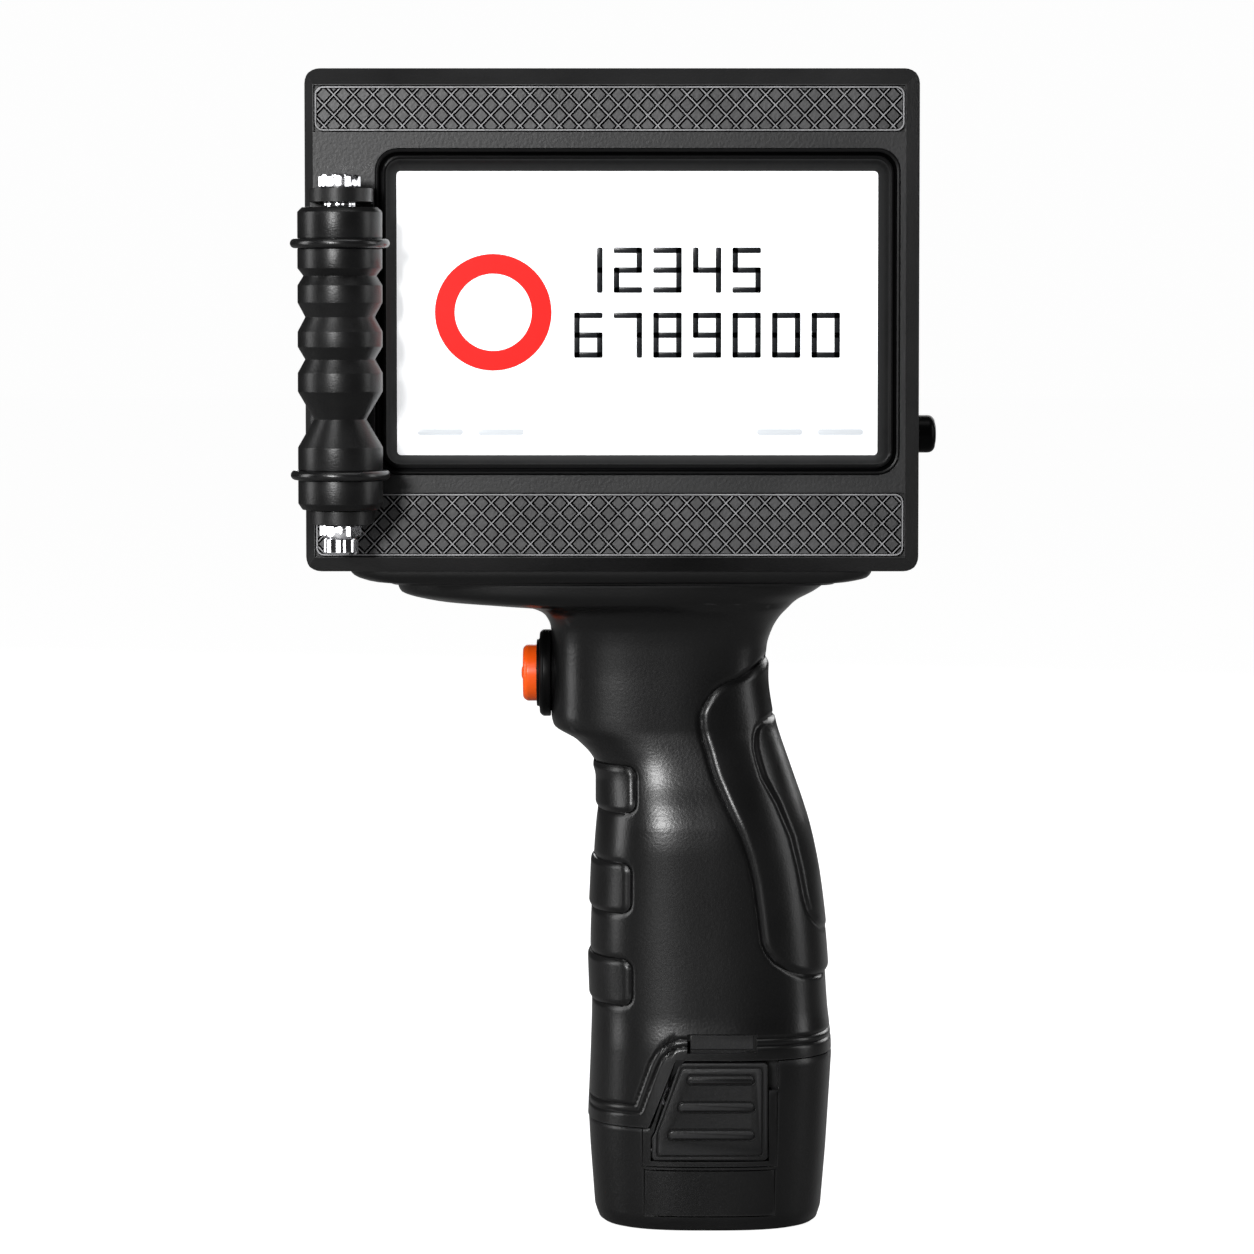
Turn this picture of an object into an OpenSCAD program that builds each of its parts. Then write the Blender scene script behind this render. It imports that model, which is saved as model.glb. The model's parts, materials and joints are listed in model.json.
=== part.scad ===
// Handheld ink coder: pistol grip, touch screen, guide rollers and a clip-on battery pack.
// +Z is up, +X is the back of the tool, -X is the print face and -Y is the screen side.
// The origin is the centre of the battery's base, on the surface that the tool stands on.

/* [Head] */
// Distance from the origin to the print face
print_face = 80.2; // [79.5:0.1:81]
// Length of the head, print face to back
head_l = 121.3; // [120:0.1:123]
// Height of the head
head_h = 99.3; // [98.5:0.1:101]
// Thickness of the head, screen face to back face
head_t = 64; // [63:0.5:68]
// Height of the head's underside above the ground
head_z = 133.5; // [133.5:0.1:135]
// Wall thickness of the head's two shells
wall = 2.4; // [2.2:0.1:2.5]
// Depth of the bevel round the screen face and the back face
bevel = 5; // [3:0.5:6]

/* [Screen] */
// Width of the display's active area
screen_w = 94.7; // [92:0.1:95]
// Height of the display's active area
screen_h = 55.9; // [54:0.1:56.5]
// Distance of the glass behind the screen face
glass_depth = 2.8; // [2.6:0.1:3]

/* [Guide rollers] */
// Radius of each roller's spool
spool_r = 8.25; // [8:0.05:8.4]
// Outer radius of the rubber rings
ring_r = 9.7; // [9.5:0.05:9.9]
// Radius of the bolt that each roller turns on
bolt_r = 2; // [1.9:0.05:2]
// Distance of each roller's axis from its face of the head
roller_out = 11.5; // [11:0.1:12.5]

/* [Trigger] */
// Radius of the trigger's cap
trigger_r = 5.75; // [5.5:0.05:6]

/* [Battery] */
// Radius of one cell
cell_r = 9.05; // [8.9:0.05:9.1]
// Length of one cell
cell_l = 65; // [64:0.5:65.5]
// Wall thickness of the grip's shells
grip_wall = 1.6; // [1.4:0.1:1.7]

/* [Cartridge] */
// Length of the cartridge, towards the print face
cartridge_l = 61; // [60:0.5:61]
// Thickness of the cartridge
cartridge_t = 24; // [23:0.5:24]
// Height of the cartridge's case
cartridge_h = 72; // [68:1:72]

/* [Hidden] */

left = -print_face;
right = left + head_l;
top = head_z + head_h;
face_y = -head_t / 2;
back_y = head_t / 2;
corner_r = 3;
round_fn = 48;
small_fn = 24;

// Face outline inside the bevel: left, bottom, right and top insets
inset_left = 1.9;
inset_bottom = 3;
inset_right = 2.9;
inset_top = 3.3;
face_x0 = left + inset_left;
face_x1 = right - inset_right;
face_z0 = head_z + inset_bottom;
face_z1 = top - inset_top;

screen_x = -14.6;
screen_z = 184.6;
bezel_x0 = -66.1;
bezel_x1 = 37.1;
bezel_z0 = 152.8;
bezel_z1 = 217;
bezel_proud = 0.6;
glass_y = face_y + glass_depth;
glass_t = 1.2;
lcd_t = 3;
panel_w = 105.4;
panel_h = 67.2;
strip_t = 0.8;
upper_strip_z = 220.2;
lower_strip_z = 149.3;

board_y = -20;
board_t = 1.6;

roller_x = -72.4;
lug_t = 2.75;
bracket_t = 1.5;
lug_top = 209.15;
lug_bottom = 143.8;
lug_r = 6.1;
spool_z0 = 146.62;
spool_z1 = 205.34;
rear_spool_z1 = 199;
bearing_r = 4;
bearing_t = 3;

trigger_z = 111.2;
trigger_face = -32.1;
bezel_r = 8.85;

power_y = -10;
power_z = 160.2;
power_r = 3.8;

pack_x = -0.8;
cell_gap_r = cell_r + 0.01;
latch_y = 20.3;
latch_z = 16.6;
spring_x = -7.5;
spring_z = 27;
tower_wall = 0.8;
tower_z0 = 2.6;
tower_top = 78;
shelf_z = 81;
cell_z0 = 5;
slot_pitch = 8;

cartridge_x0 = -71;
cartridge_y0 = 4;
cartridge_z0 = 154;
snout_y0 = 7;
snout_y1 = 21;
snout_z0 = 175;
snout_z1 = 205;

lever_x = -4.6;
lever_z = 227.6;

// Grip outline: height above the ground, then front edge, rear edge and half thickness
GRIP = [
    [19, -24.7, 25.2, 23.3], [36, -24.0, 25.0, 23.2], [44, -23.8, 24.2, 22.4],
    [56, -24.1, 23.4, 22.1], [70, -23.6, 21.8, 21.9], [80, -23.0, 19.8, 22.1],
    [88, -22.3, 17.2, 19.9], [94, -23.5, 15.1, 18.5], [98, -27.0, 13.7, 17.8],
    [101, -31.6, 12.8, 17.5], [103, -32, 12.4, 17.5], [111, -32, 11.4, 17.5],
    [117, -32, 11.8, 17.8], [120.5, -32.1, 12.9, 18.5], [123, -33.1, 14.4, 19.8],
    [125, -37, 16.3, 21.4], [125.7, -46, 17, 22.2], [126.5, -56, 18, 23.1], [128.3, -62.6, 21.4, 24.3],
    [130.4, -63.4, 24.4, 24.8]
];
// Side outline of the battery: front edge, base, rear edge and the stepped top
PACK_SIDE = [
    [-21.8, 0], [21.6, 0], [22.9, 3], [23.9, 15], [24.7, 28], [25.1, 34.8],
    [-7.1, 34.8], [-12.1, 21.1], [-24.8, 21.1], [-24.1, 15], [-23.2, 3]
];
pack_half_l = 25.2;
pack_half_t = 23.2;
// Line where the grip meets the battery, from front to rear
JOINT_LINE = [[-30, 21.4], [-12.1, 21.4], [-7.1, 35.1], [30, 35.1]];

// ---------- helpers ----------

// A box between two opposite corners
module box(lo, hi) {
    translate(lo) cube(hi - lo);
}

module rod_x(x0, x1, y, z, r, fn = round_fn) {
    translate([x0, y, z]) rotate([0, 90, 0]) cylinder(h = x1 - x0, r = r, $fn = fn);
}

module rod_y(y0, y1, x, z, r, fn = round_fn) {
    translate([x, y0, z]) rotate([-90, 0, 0]) cylinder(h = y1 - y0, r = r, $fn = fn);
}

module rod_z(z0, z1, x, y, r, fn = round_fn) {
    translate([x, y, z0]) cylinder(h = z1 - z0, r = r, $fn = fn);
}

// A flat outline in X and Z made solid between two Y values
module slab_y(y0, y1) {
    translate([0, y1, 0]) rotate([90, 0, 0]) linear_extrude(y1 - y0) children();
}

// Corners of a rounded rectangle, anticlockwise
function round_points(x0, z0, x1, z1, r, steps = 6) = [
    for (c = [[x1 - r, z1 - r, 0], [x0 + r, z1 - r, 90], [x0 + r, z0 + r, 180], [x1 - r, z0 + r, 270]])
        for (i = [0:steps]) [c[0] + r * cos(c[2] + 90 * i / steps), c[1] + r * sin(c[2] + 90 * i / steps)]
];

// A closed skin over rings of points, each anticlockwise seen from the last ring's side
module loft(rings) {
    m = len(rings[0]);
    last = len(rings) - 1;
    polyhedron(
        points = [for (ring = rings, p = ring) p],
        faces = concat(
            [[for (i = [0:m - 1]) i]],
            [[for (i = [m - 1:-1:0]) last * m + i]],
            [for (k = [0:last - 1], i = [0:m - 1]) [k * m + i, (k + 1) * m + i, (k + 1) * m + (i + 1) % m]],
            [for (k = [0:last - 1], i = [0:m - 1]) [k * m + i, (k + 1) * m + (i + 1) % m, k * m + (i + 1) % m]]
        )
    );
}

// One column of an outline table, read at height z
function column(table, c, z) = lookup(z, [for (row = table) [row[0], row[c]]]);

// A point of a squared oval with half sizes hx and hy
function oval_point(x, hx, hy, a, z) = [
    x + hx * sign(cos(a)) * pow(abs(cos(a)), 0.7),
    hy * sign(sin(a)) * pow(abs(sin(a)), 0.7),
    z
];

// The grip's outside at height z and angle a, moved out by grow
function grip_point(z, a, grow) = let (f = column(GRIP, 1, z), r = column(GRIP, 2, z))
    oval_point((f + r) / 2, (r - f) / 2 + grow, column(GRIP, 3, z) + grow, a, z);

// The grip's inside, which stops short of the flange at the top
function bore_point(z, a) = let (
        f = max(column(GRIP, 1, z) + grip_wall, -30),
        r = min(column(GRIP, 2, z) - grip_wall, 22.8),
        h = min(column(GRIP, 3, z) - grip_wall, 20.9)
    ) oval_point((f + r) / 2, (r - f) / 2, z > 120 ? min(h, 16.4) : h, a, z);

// ---------- head ----------

// Wedge that cuts one bevel: s = -1 or +1 gives the edge's direction along each of the outline's two axes
module bevel_wedge(edge, face, s_edge, s_face, inset) {
    polygon([
        for (p = [[0, bevel], [inset, 0], [inset, -1], [-1, -1], [-1, bevel]])
            [edge - s_edge * p[0], face - s_face * p[1]]
    ]);
}

module head_block() {
    difference() {
        slab_y(face_y, back_y) polygon(round_points(left, head_z, right, top, corner_r));
        for (s = [[-1, face_y], [1, back_y]]) {
            translate([0, 0, head_z - 1]) linear_extrude(head_h + 2) {
                bevel_wedge(left, s[1], -1, s[0], inset_left);
                bevel_wedge(right, s[1], 1, s[0], inset_right);
            }
            translate([left - 1, 0, 0]) rotate([90, 0, 90]) linear_extrude(head_l + 2) mirror([1, -1]) {
                bevel_wedge(head_z, s[1], -1, s[0], inset_bottom);
                bevel_wedge(top, s[1], 1, s[0], inset_top);
            }
        }
    }
}

module head_cavity(y0, y1) {
    box([left + wall, y0, head_z + wall], [right - wall, y1, top - wall]);
}

HEAD_SCREWS = [[left + 5.2, head_z + 5.5], [right - 5.3, head_z + 5.5], [right - 5.3, top - 5.4]];

module head_front_shell() color([0.17, 0.17, 0.18]) {
    difference() {
        union() {
            difference() {
                head_block();
                head_cavity(glass_y - 0.4, back_y + 1);
                box([left - 1, 0, head_z - 1], [right + 1, back_y + 1, top + 1]);
            }
            for (s = HEAD_SCREWS) rod_y(-26, 0, s[0], s[1], 3.4, small_fn);
        }
        slab_y(face_y - 1, glass_y) polygon(round_points(bezel_x0, bezel_z0, bezel_x1, bezel_z1, 4.4));
        box([face_x0 + 0.2, face_y - 1, upper_strip_z], [face_x1 - 0.2, face_y + strip_t, face_z1 - 0.2]);
        box([face_x0 + 0.2, face_y - 1, face_z0 + 0.2], [face_x1 - 0.2, face_y + strip_t, lower_strip_z]);
        for (s = HEAD_SCREWS) rod_y(-14, 1, s[0], s[1], 1.45, small_fn);
        rod_x(right - wall - 1, right + 1, power_y, power_z, power_r + 0.3);
        box([right - wall - 1, power_y - 4.7, 144.2], [right + 1, power_y + 4.7, 147.8]);
        box([-6, -8, head_z - 1], [2, -4, head_z + wall + 1]);
    }
}

module head_rear_shell() color([0.15, 0.15, 0.16]) {
    difference() {
        union() {
            difference() {
                head_block();
                head_cavity(face_y - 1, back_y - wall);
                box([left - 1, face_y - 1, head_z - 1], [right + 1, 0, top + 1]);
            }
            for (s = HEAD_SCREWS) rod_y(0, back_y - 1, s[0], s[1], 3.4, small_fn);
            lever_pocket();
        }
        // cartridge well, open at the top, and the slot that its snout slides in
        box([cartridge_x0 - 0.5, 3.3, top - wall - 1], [cartridge_x0 + cartridge_l + 0.5, 28.7, top + 1]);
        box([left - 1, snout_y0 - 0.6, snout_z0 - 1], [cartridge_x0 + 1, snout_y1 + 0.6, top + 1]);
        // room for the clamp lever and its finger notch
        box([-9.6, 9.4, lever_z - 5.4], [24.6, 22.6, top + 1]);
        rod_y(6, 26, lever_x, lever_z, 1.6, small_fn);
        for (s = HEAD_SCREWS) rod_y(-1, back_y + 1, s[0], s[1], 1.6, small_fn);
        for (s = HEAD_SCREWS) rod_y(back_y - 2.2, back_y + 1, s[0], s[1], 3, small_fn);
    }
}

// Walls and floor of the recess that the clamp lever lies in
module lever_pocket() {
    difference() {
        box([-9.6, 7.6, lever_z - 7], [26.4, 24.4, top - 1]);
        box([-11, 9.4, lever_z - 5.4], [24.6, 22.6, top + 1]);
    }
}

module screen_bezel() color([0.07, 0.07, 0.08]) {
    difference() {
        slab_y(face_y - bezel_proud, glass_y)
            polygon(round_points(bezel_x0, bezel_z0, bezel_x1, bezel_z1, 4.4));
        loft([
            for (s = [[glass_y + 0.01, 0.2], [face_y - bezel_proud - 0.01, 2.9]]) [
                for (p = round_points(screen_x - screen_w / 2 - s[1], screen_z - screen_h / 2 - s[1],
                                      screen_x + screen_w / 2 + s[1], screen_z + screen_h / 2 + s[1], 0.8 + s[1] / 2))
                    [p[0], s[0], p[1]]
            ]
        ]);
    }
}

module touch_glass() color([0.95, 0.96, 0.97]) {
    box([screen_x - panel_w / 2, glass_y, screen_z - panel_h / 2],
        [screen_x + panel_w / 2, glass_y + glass_t, screen_z + panel_h / 2]);
}

module lcd_panel() color([0.7, 0.72, 0.74]) {
    box([screen_x - panel_w / 2, glass_y + glass_t, screen_z - panel_h / 2],
        [screen_x + panel_w / 2, glass_y + glass_t + lcd_t, screen_z + panel_h / 2]);
}

module upper_grip_strip() color([0.24, 0.24, 0.25]) {
    slab_y(face_y, face_y + strip_t)
        polygon(round_points(face_x0 + 0.3, upper_strip_z + 0.1, face_x1 - 0.3, face_z1 - 0.3, 1.6));
}

module lower_grip_strip() color([0.2, 0.2, 0.21]) {
    slab_y(face_y, face_y + strip_t)
        polygon(round_points(face_x0 + 0.3, face_z0 + 0.3, face_x1 - 0.3, lower_strip_z - 0.1, 1.6));
}

module main_board() color([0.05, 0.35, 0.15]) {
    difference() {
        box([-62, board_y, 143], [27, board_y + board_t, 221]);
        for (x = [-58, 23], z = [153, 216]) rod_y(board_y - 1, board_y + 3, x, z, 1.6, small_fn);
    }
}

module board_standoffs() color([0.75, 0.72, 0.55]) {
    for (x = [-58, 23], z = [153, 216]) {
        difference() {
            rod_y(glass_y + glass_t + lcd_t, board_y, x, z, 2.6, 6);
            rod_y(board_y - 3, board_y + 1, x, z, 1.2, small_fn);
        }
    }
}

module board_components() color([0.1, 0.1, 0.1]) {
    back = board_y + board_t;
    box([-40, back, 180], [-24, back + 1.4, 196]);
    box([-14, back, 184], [-2, back + 1.1, 194]);
    box([6, back, 176], [13, back + 1, 190]);
    box([-52, back, 206], [-38, back + 4, 212]);
    box([-30, back, 208], [-10, back + 5.5, 214]);
    box([-7.5, back, 143.5], [3.5, board_y + 7.5, 149.5]);
    box([10, back, 146], [22, back + 4, 153]);
    for (i = [0:3]) rod_y(back, back + 5.4, -50 + 8 * i, 160, 3.1, small_fn);
    for (i = [0:5]) box([-34 + 6 * i, back, 170], [-31.5 + 6 * i, back + 1, 171.5]);
}

module cartridge_cradle() color([0.12, 0.12, 0.13]) {
    x0 = cartridge_x0 - 0.4;
    x1 = cartridge_x0 + cartridge_l + 0.4;
    y0 = cartridge_y0 - 0.4;
    y1 = cartridge_y0 + cartridge_t + 0.4;
    difference() {
        box([left + wall, y0 - 1.2, cartridge_z0 - 3], [x1 + 1.8, back_y - wall, 220]);
        box([x0, y0, cartridge_z0], [x1, y1, 222]);
        box([left, snout_y0 - 0.6, snout_z0 - 1], [x0 + 1, snout_y1 + 0.6, 222]);
        box([-46, 0, 162], [-24, y0 + 1, 174]);
    }
}

// Sprung contact pins that press on the cartridge's pads
module contact_block() color([0.85, 0.7, 0.3]) {
    box([-47.5, 0.6, 160.5], [-22.5, cartridge_y0 - 1.6, 175.5]);
    for (i = [0:7], j = [0:3])
        rod_y(cartridge_y0 - 1.6, cartridge_y0 - 0.3, -44.1 + 2.6 * i, 164.1 + 2.6 * j, 0.45, small_fn);
}

PLATE_SCREWS = [[3.6, 168.5], [24.4, 168.5], [3.6, 222], [24.4, 222]];

module print_face_plate() color([0.75, 0.75, 0.77]) {
    difference() {
        box([left - 0.7, 1, 165], [left, 26.8, 226]);
        box([left - 2, snout_y0 - 0.6, snout_z0 - 1], [left + 1, snout_y1 + 0.6, 230]);
        for (s = PLATE_SCREWS) rod_x(left - 2, left + 1, s[0], s[1], 1.1, small_fn);
    }
}

module face_plate_screws() color([0.6, 0.6, 0.62]) {
    for (s = PLATE_SCREWS) {
        difference() {
            rod_x(left - 1.3, left - 0.7, s[0], s[1], 1.8, small_fn);
            rod_x(left - 2, left - 1, s[0], s[1], 0.8, 6);
        }
        rod_x(left - 0.7, left, s[0], s[1], 1, small_fn);
    }
}

module head_screws() color([0.25, 0.25, 0.26]) {
    for (s = HEAD_SCREWS) {
        difference() {
            rod_y(back_y - 2.2, back_y - 0.4, s[0], s[1], 2.8, small_fn);
            rod_y(back_y - 1.6, back_y, s[0], s[1], 1.3, 6);
        }
        rod_y(-13, back_y - 2.2, s[0], s[1], 1.4, small_fn);
    }
}

module power_switch_body() color([0.1, 0.1, 0.1]) {
    difference() {
        union() {
            box([29, power_y - 5, power_z - 5], [right - wall - 1.2, power_y + 5, power_z + 5]);
            rod_x(right - wall - 1.2, right - wall, power_y, power_z, 5.6);
        }
        rod_x(32.5, right, power_y, power_z, power_r + 0.3);
    }
}

module power_button() color([0.06, 0.06, 0.07]) {
    rod_x(34.5, right + 4.4 - 1.2, power_y, power_z, power_r);
    rod_x(right + 3.2, right + 4.4, power_y, power_z, power_r - 0.9);
}

module usb_port() color([0.7, 0.7, 0.72]) {
    difference() {
        box([30, power_y - 4.5, 144.4], [right - 0.2, power_y + 4.5, 147.6]);
        box([33, power_y - 4.1, 144.8], [right, power_y + 4.1, 147.2]);
    }
    box([33, power_y - 3.2, 145.6], [right - 1.4, power_y + 3.2, 146.4]);
}

// ---------- guide rollers, side = -1 in front of the screen face, +1 behind the back face ----------

function roller_y(side) = side * (head_t / 2 + roller_out);

module roller_bracket(side) {
    y = roller_y(side);
    inner = side * head_t / 2;
    difference() {
        union() {
            box([roller_x - 6.4, min(inner, inner + side * bracket_t), lug_bottom],
                [roller_x + 6.1, max(inner, inner + side * bracket_t), lug_top]);
            for (z = [lug_bottom, lug_top - lug_t]) {
                rod_z(z, z + lug_t - 0.1, roller_x, y, lug_r);
                box([roller_x - lug_r, min(inner, y), z], [roller_x + lug_r, max(inner, y), z + lug_t - 0.1]);
            }
        }
        rod_z(lug_bottom - 1, lug_top + 1, roller_x, y, bolt_r + 0.05);
    }
}

module front_roller_bracket() color([0.16, 0.16, 0.17]) roller_bracket(-1);
module rear_roller_bracket() color([0.16, 0.16, 0.17]) roller_bracket(1);

module roller_bolt(side) {
    y = roller_y(side);
    rod_z(137.9, 141.2, roller_x, y, 3.45);
    rod_z(141.2, 212.4, roller_x, y, bolt_r);
}

module front_roller_bolt() color([0.8, 0.8, 0.82]) roller_bolt(-1);
module rear_roller_bolt() color([0.8, 0.8, 0.82]) roller_bolt(1);

module roller_nuts(side) {
    y = roller_y(side);
    for (z = [141.2, lug_top - 0.1]) {
        difference() {
            rod_z(z, z + 2.55, roller_x, y, 4.04, 6);
            rod_z(z - 1, z + 4, roller_x, y, bolt_r + 0.02);
        }
    }
}

module front_roller_nuts() color([0.82, 0.82, 0.84]) roller_nuts(-1);
module rear_roller_nuts() color([0.82, 0.82, 0.84]) roller_nuts(1);

// Spacer washers between the bearings and the bracket's lugs
module roller_spacers(side, z1) {
    y = roller_y(side);
    for (s = [[z1 + 0.05, lug_top - lug_t], [lug_bottom + lug_t - 0.1, spool_z0 - 0.02]]) {
        difference() {
            rod_z(s[0], s[1], roller_x, y, 3.1);
            rod_z(s[0] - 1, s[1] + 1, roller_x, y, bolt_r + 0.05);
        }
    }
}

module front_roller_spacers() color([0.8, 0.8, 0.82]) roller_spacers(-1, spool_z1);
module rear_roller_spacers() color([0.8, 0.8, 0.82]) roller_spacers(1, rear_spool_z1);

// Half outline of a spool: straight lands, three shallow V grooves, a deep waist and a long land
function spool_outline(z1) = concat(
    [[2.6, spool_z0], [spool_r - 0.8, spool_z0], [spool_r, spool_z0 + 1.4], [spool_r, 158.74], [5.1, 164.2]],
    [[spool_r, 169.6], [spool_r, 173.2], [6.8, 175.84], [spool_r, 178.28], [spool_r, 181.2], [6.75, 184.04]],
    [[spool_r, 186.87], [spool_r, 190.2], [7.1, 192.1], [spool_r, 193.52], [spool_r, z1 - 0.9]],
    [[spool_r - 0.9, z1], [2.6, z1]]
);

module spool(side, z1, ring_z) {
    translate([roller_x, roller_y(side), 0]) difference() {
        rotate_extrude($fn = round_fn) polygon(spool_outline(z1));
        for (z = [spool_z0 - 1, z1 - bearing_t]) rod_z(z, z + bearing_t + 1, 0, 0, bearing_r + 0.02);
        for (z = ring_z) rubber_ring(z, 0.97);
    }
}

module rubber_ring(z, r) {
    translate([0, 0, z]) rotate_extrude($fn = round_fn) translate([ring_r - 0.95, 0]) circle(r, $fn = small_fn);
}

FRONT_RINGS = [153.36, 198.34];
REAR_RINGS = [153.36, 195.6];

module front_spool() color([0.1, 0.1, 0.11]) spool(-1, spool_z1, FRONT_RINGS);
module rear_spool() color([0.1, 0.1, 0.11]) spool(1, rear_spool_z1, REAR_RINGS);

module front_rings() color([0.03, 0.03, 0.03]) {
    translate([roller_x, roller_y(-1), 0]) for (z = FRONT_RINGS) rubber_ring(z, 0.95);
}

module rear_rings() color([0.03, 0.03, 0.03]) {
    translate([roller_x, roller_y(1), 0]) for (z = REAR_RINGS) rubber_ring(z, 0.95);
}

module bearings(side, z1) {
    for (z = [spool_z0, z1 - bearing_t + 0.02]) {
        difference() {
            rod_z(z, z + bearing_t - 0.02, roller_x, roller_y(side), bearing_r);
            rod_z(z - 1, z + bearing_t + 1, roller_x, roller_y(side), bolt_r + 0.05);
        }
    }
}

module front_bearings() color([0.78, 0.78, 0.8]) bearings(-1, spool_z1);
module rear_bearings() color([0.78, 0.78, 0.8]) bearings(1, rear_spool_z1);

module encoder_disc() color([0.6, 0.6, 0.62]) {
    difference() {
        union() {
            rod_z(rear_spool_z1, rear_spool_z1 + 2, roller_x, roller_y(1), 5.2);
            rod_z(rear_spool_z1 + 2, rear_spool_z1 + 2.6, roller_x, roller_y(1), spool_r);
        }
        rod_z(rear_spool_z1 - 1, rear_spool_z1 + 4, roller_x, roller_y(1), 3.6);
    }
}

module encoder_sensor() color([0.12, 0.12, 0.13]) {
    y = back_y + bracket_t;
    difference() {
        box([roller_x - 4, y, rear_spool_z1 + 0.5], [roller_x + 4, y + 4.4, rear_spool_z1 + 5]);
        box([roller_x - 5, y + 0.4, rear_spool_z1 + 1.6], [roller_x + 5, y + 5, rear_spool_z1 + 3]);
    }
}

// ---------- cartridge ----------

module cartridge_case() color([0.13, 0.13, 0.14]) {
    x1 = cartridge_x0 + cartridge_l;
    y1 = cartridge_y0 + cartridge_t;
    difference() {
        union() {
            box([cartridge_x0, cartridge_y0, cartridge_z0], [x1, y1, cartridge_z0 + cartridge_h]);
            box([cartridge_x0 - 8.6, snout_y0, snout_z0], [cartridge_x0 + 1, snout_y1, snout_z1]);
            box([-52, 14.8, cartridge_z0 + cartridge_h - 1], [-28, 17.2, cartridge_z0 + cartridge_h + 5.4]);
        }
        box([-46.5, cartridge_y0 - 1, 161.5], [-23.5, cartridge_y0 + 0.2, 174.5]);
    }
}

// Nozzle plate on the snout and the contact pads on the case
module cartridge_head() color([0.8, 0.65, 0.3]) {
    box([cartridge_x0 - 9.1, snout_y0 + 2, snout_z0 + 1.5], [cartridge_x0 - 8.6, snout_y1 - 2, snout_z1 - 1.5]);
    box([-46.5, cartridge_y0, 161.5], [-23.5, cartridge_y0 + 0.2, 174.5]);
}

module clamp_lever() color([0.35, 0.36, 0.38]) {
    difference() {
        union() {
            rod_y(9.8, 22.2, lever_x, lever_z, 3.9);
            rod_y(9.8, 22.2, lever_x - 0.8, lever_z, 3.7);
            box([lever_x, 9.8, lever_z + 0.6], [22.6, 22.2, lever_z + 3.8]);
        }
        rod_y(9, 23, lever_x, lever_z, 1.55, small_fn);
        rod_y(9, 23, 16, lever_z + 7, 4.4);
    }
}

module clamp_lever_pin() color([0.75, 0.75, 0.77]) {
    rod_y(6.4, 25.6, lever_x, lever_z, 1.5, small_fn);
}

// ---------- handle ----------

module mount_plate() color([0.12, 0.12, 0.13]) {
    difference() {
        loft([
            for (s = [
                [130.5, -63.4, 24.6, 24.6], [131.2, -68, 28.7, 25.2],
                [131.8, -70.1, 31.2, 25.6], [133.5, -71.9, 32.2, 26]
            ])
                [for (p = round_points(s[1], -s[3], s[2], s[3], 6)) [p[0], p[1], s[0]]]
        ]);
        box([-24, -12, 130], [8, 12, 134]);
    }
}

// The grip as one solid between two heights, moved out by grow
module grip_solid(z0, z1, grow) {
    rows = concat([z0], [for (row = GRIP) if (row[0] > z0 + 1 && row[0] < z1 - 1) row[0]], [z1]);
    loft([for (z = rows) [for (i = [0:23]) grip_point(z, 15 * i, grow)]]);
}

// One half of the hollow grip, from its angle at the parting line
module grip_half(start) {
    last = len(GRIP) - 1;
    difference() {
        loft([for (row = GRIP) [for (i = [0:12]) grip_point(row[0], start + 15 * i, 0)]]);
        loft([
            for (k = [0:last]) let (z = GRIP[k][0] + (k == 0 ? -1 : k == last ? 1 : 0))
                [for (i = [0:23]) bore_point(z, 15 * i)]
        ]);
    }
}

// Everything below the joint line, lifted by lift
module below_joint(lift) {
    slab_y(-40, 40)
        polygon(concat([for (p = JOINT_LINE) [p[0], p[1] + lift]], [[30, -10], [-30, -10]]));
}

// Grip screws: place in side view, then how far their posts reach to each side
GRIP_SCREWS = [[5, 116, 12.2], [-14, 95.5, 15.3]];

module handle_half(side) {
    difference() {
        union() {
            grip_half(side < 0 ? 180 : 0);
            for (s = GRIP_SCREWS) rod_y(side < 0 ? -s[2] : 0, side < 0 ? 0 : s[2], s[0], s[1], 3.2, small_fn);
            intersection() {
                grip_solid(shelf_z - 1, shelf_z + 5, -0.5);
                for (x = [-15.6, 12.2])
                    box([x, side < 0 ? -20 : 8, shelf_z], [x + 2, side < 0 ? -8 : 20, shelf_z + 4]);
            }
        }
        below_joint(0);
        rod_x(trigger_face - 2, -20, 0, trigger_z, 7.9);
        // window that shows the latch's hook, with room behind it for the tongue
        box([-4.6, side < 0 ? -30 : 19, 36.6], [9.4, side < 0 ? -19 : 30, 40.3]);
        box([-4.6, side < 0 ? -21.6 : 18.9, 30], [9.4, side < 0 ? -18.9 : 21.6, 42]);
        for (s = GRIP_SCREWS) rod_y(2.5 - s[2], 20, s[0], s[1], 1.45, small_fn);
        for (s = GRIP_SCREWS) rod_y(s[2] - 1.5, 24, s[0], s[1], 3.1, small_fn);
    }
}

module handle_near_shell() color([0.14, 0.14, 0.15]) handle_half(-1);
module handle_far_shell() color([0.14, 0.14, 0.15]) handle_half(1);

module handle_screws() color([0.25, 0.25, 0.26]) {
    for (s = GRIP_SCREWS) {
        rod_y(3.5 - s[2], s[2] - 1.5, s[0], s[1], 1.4, small_fn);
        difference() {
            rod_y(s[2] - 1.5, s[2] + 0.3, s[0], s[1], 2.8, small_fn);
            rod_y(s[2] - 0.7, s[2] + 1, s[0], s[1], 1.3, 6);
        }
    }
}

// A raised skin on the grip between two heights, inside a side outline
module grip_pad(z0, z1, thick, outline) {
    difference() {
        intersection() {
            grip_solid(z0, z1, thick);
            slab_y(-30, 30) polygon(outline);
        }
        grip_solid(z0 - 1, z1 + 1, 0.06);
    }
}

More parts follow.
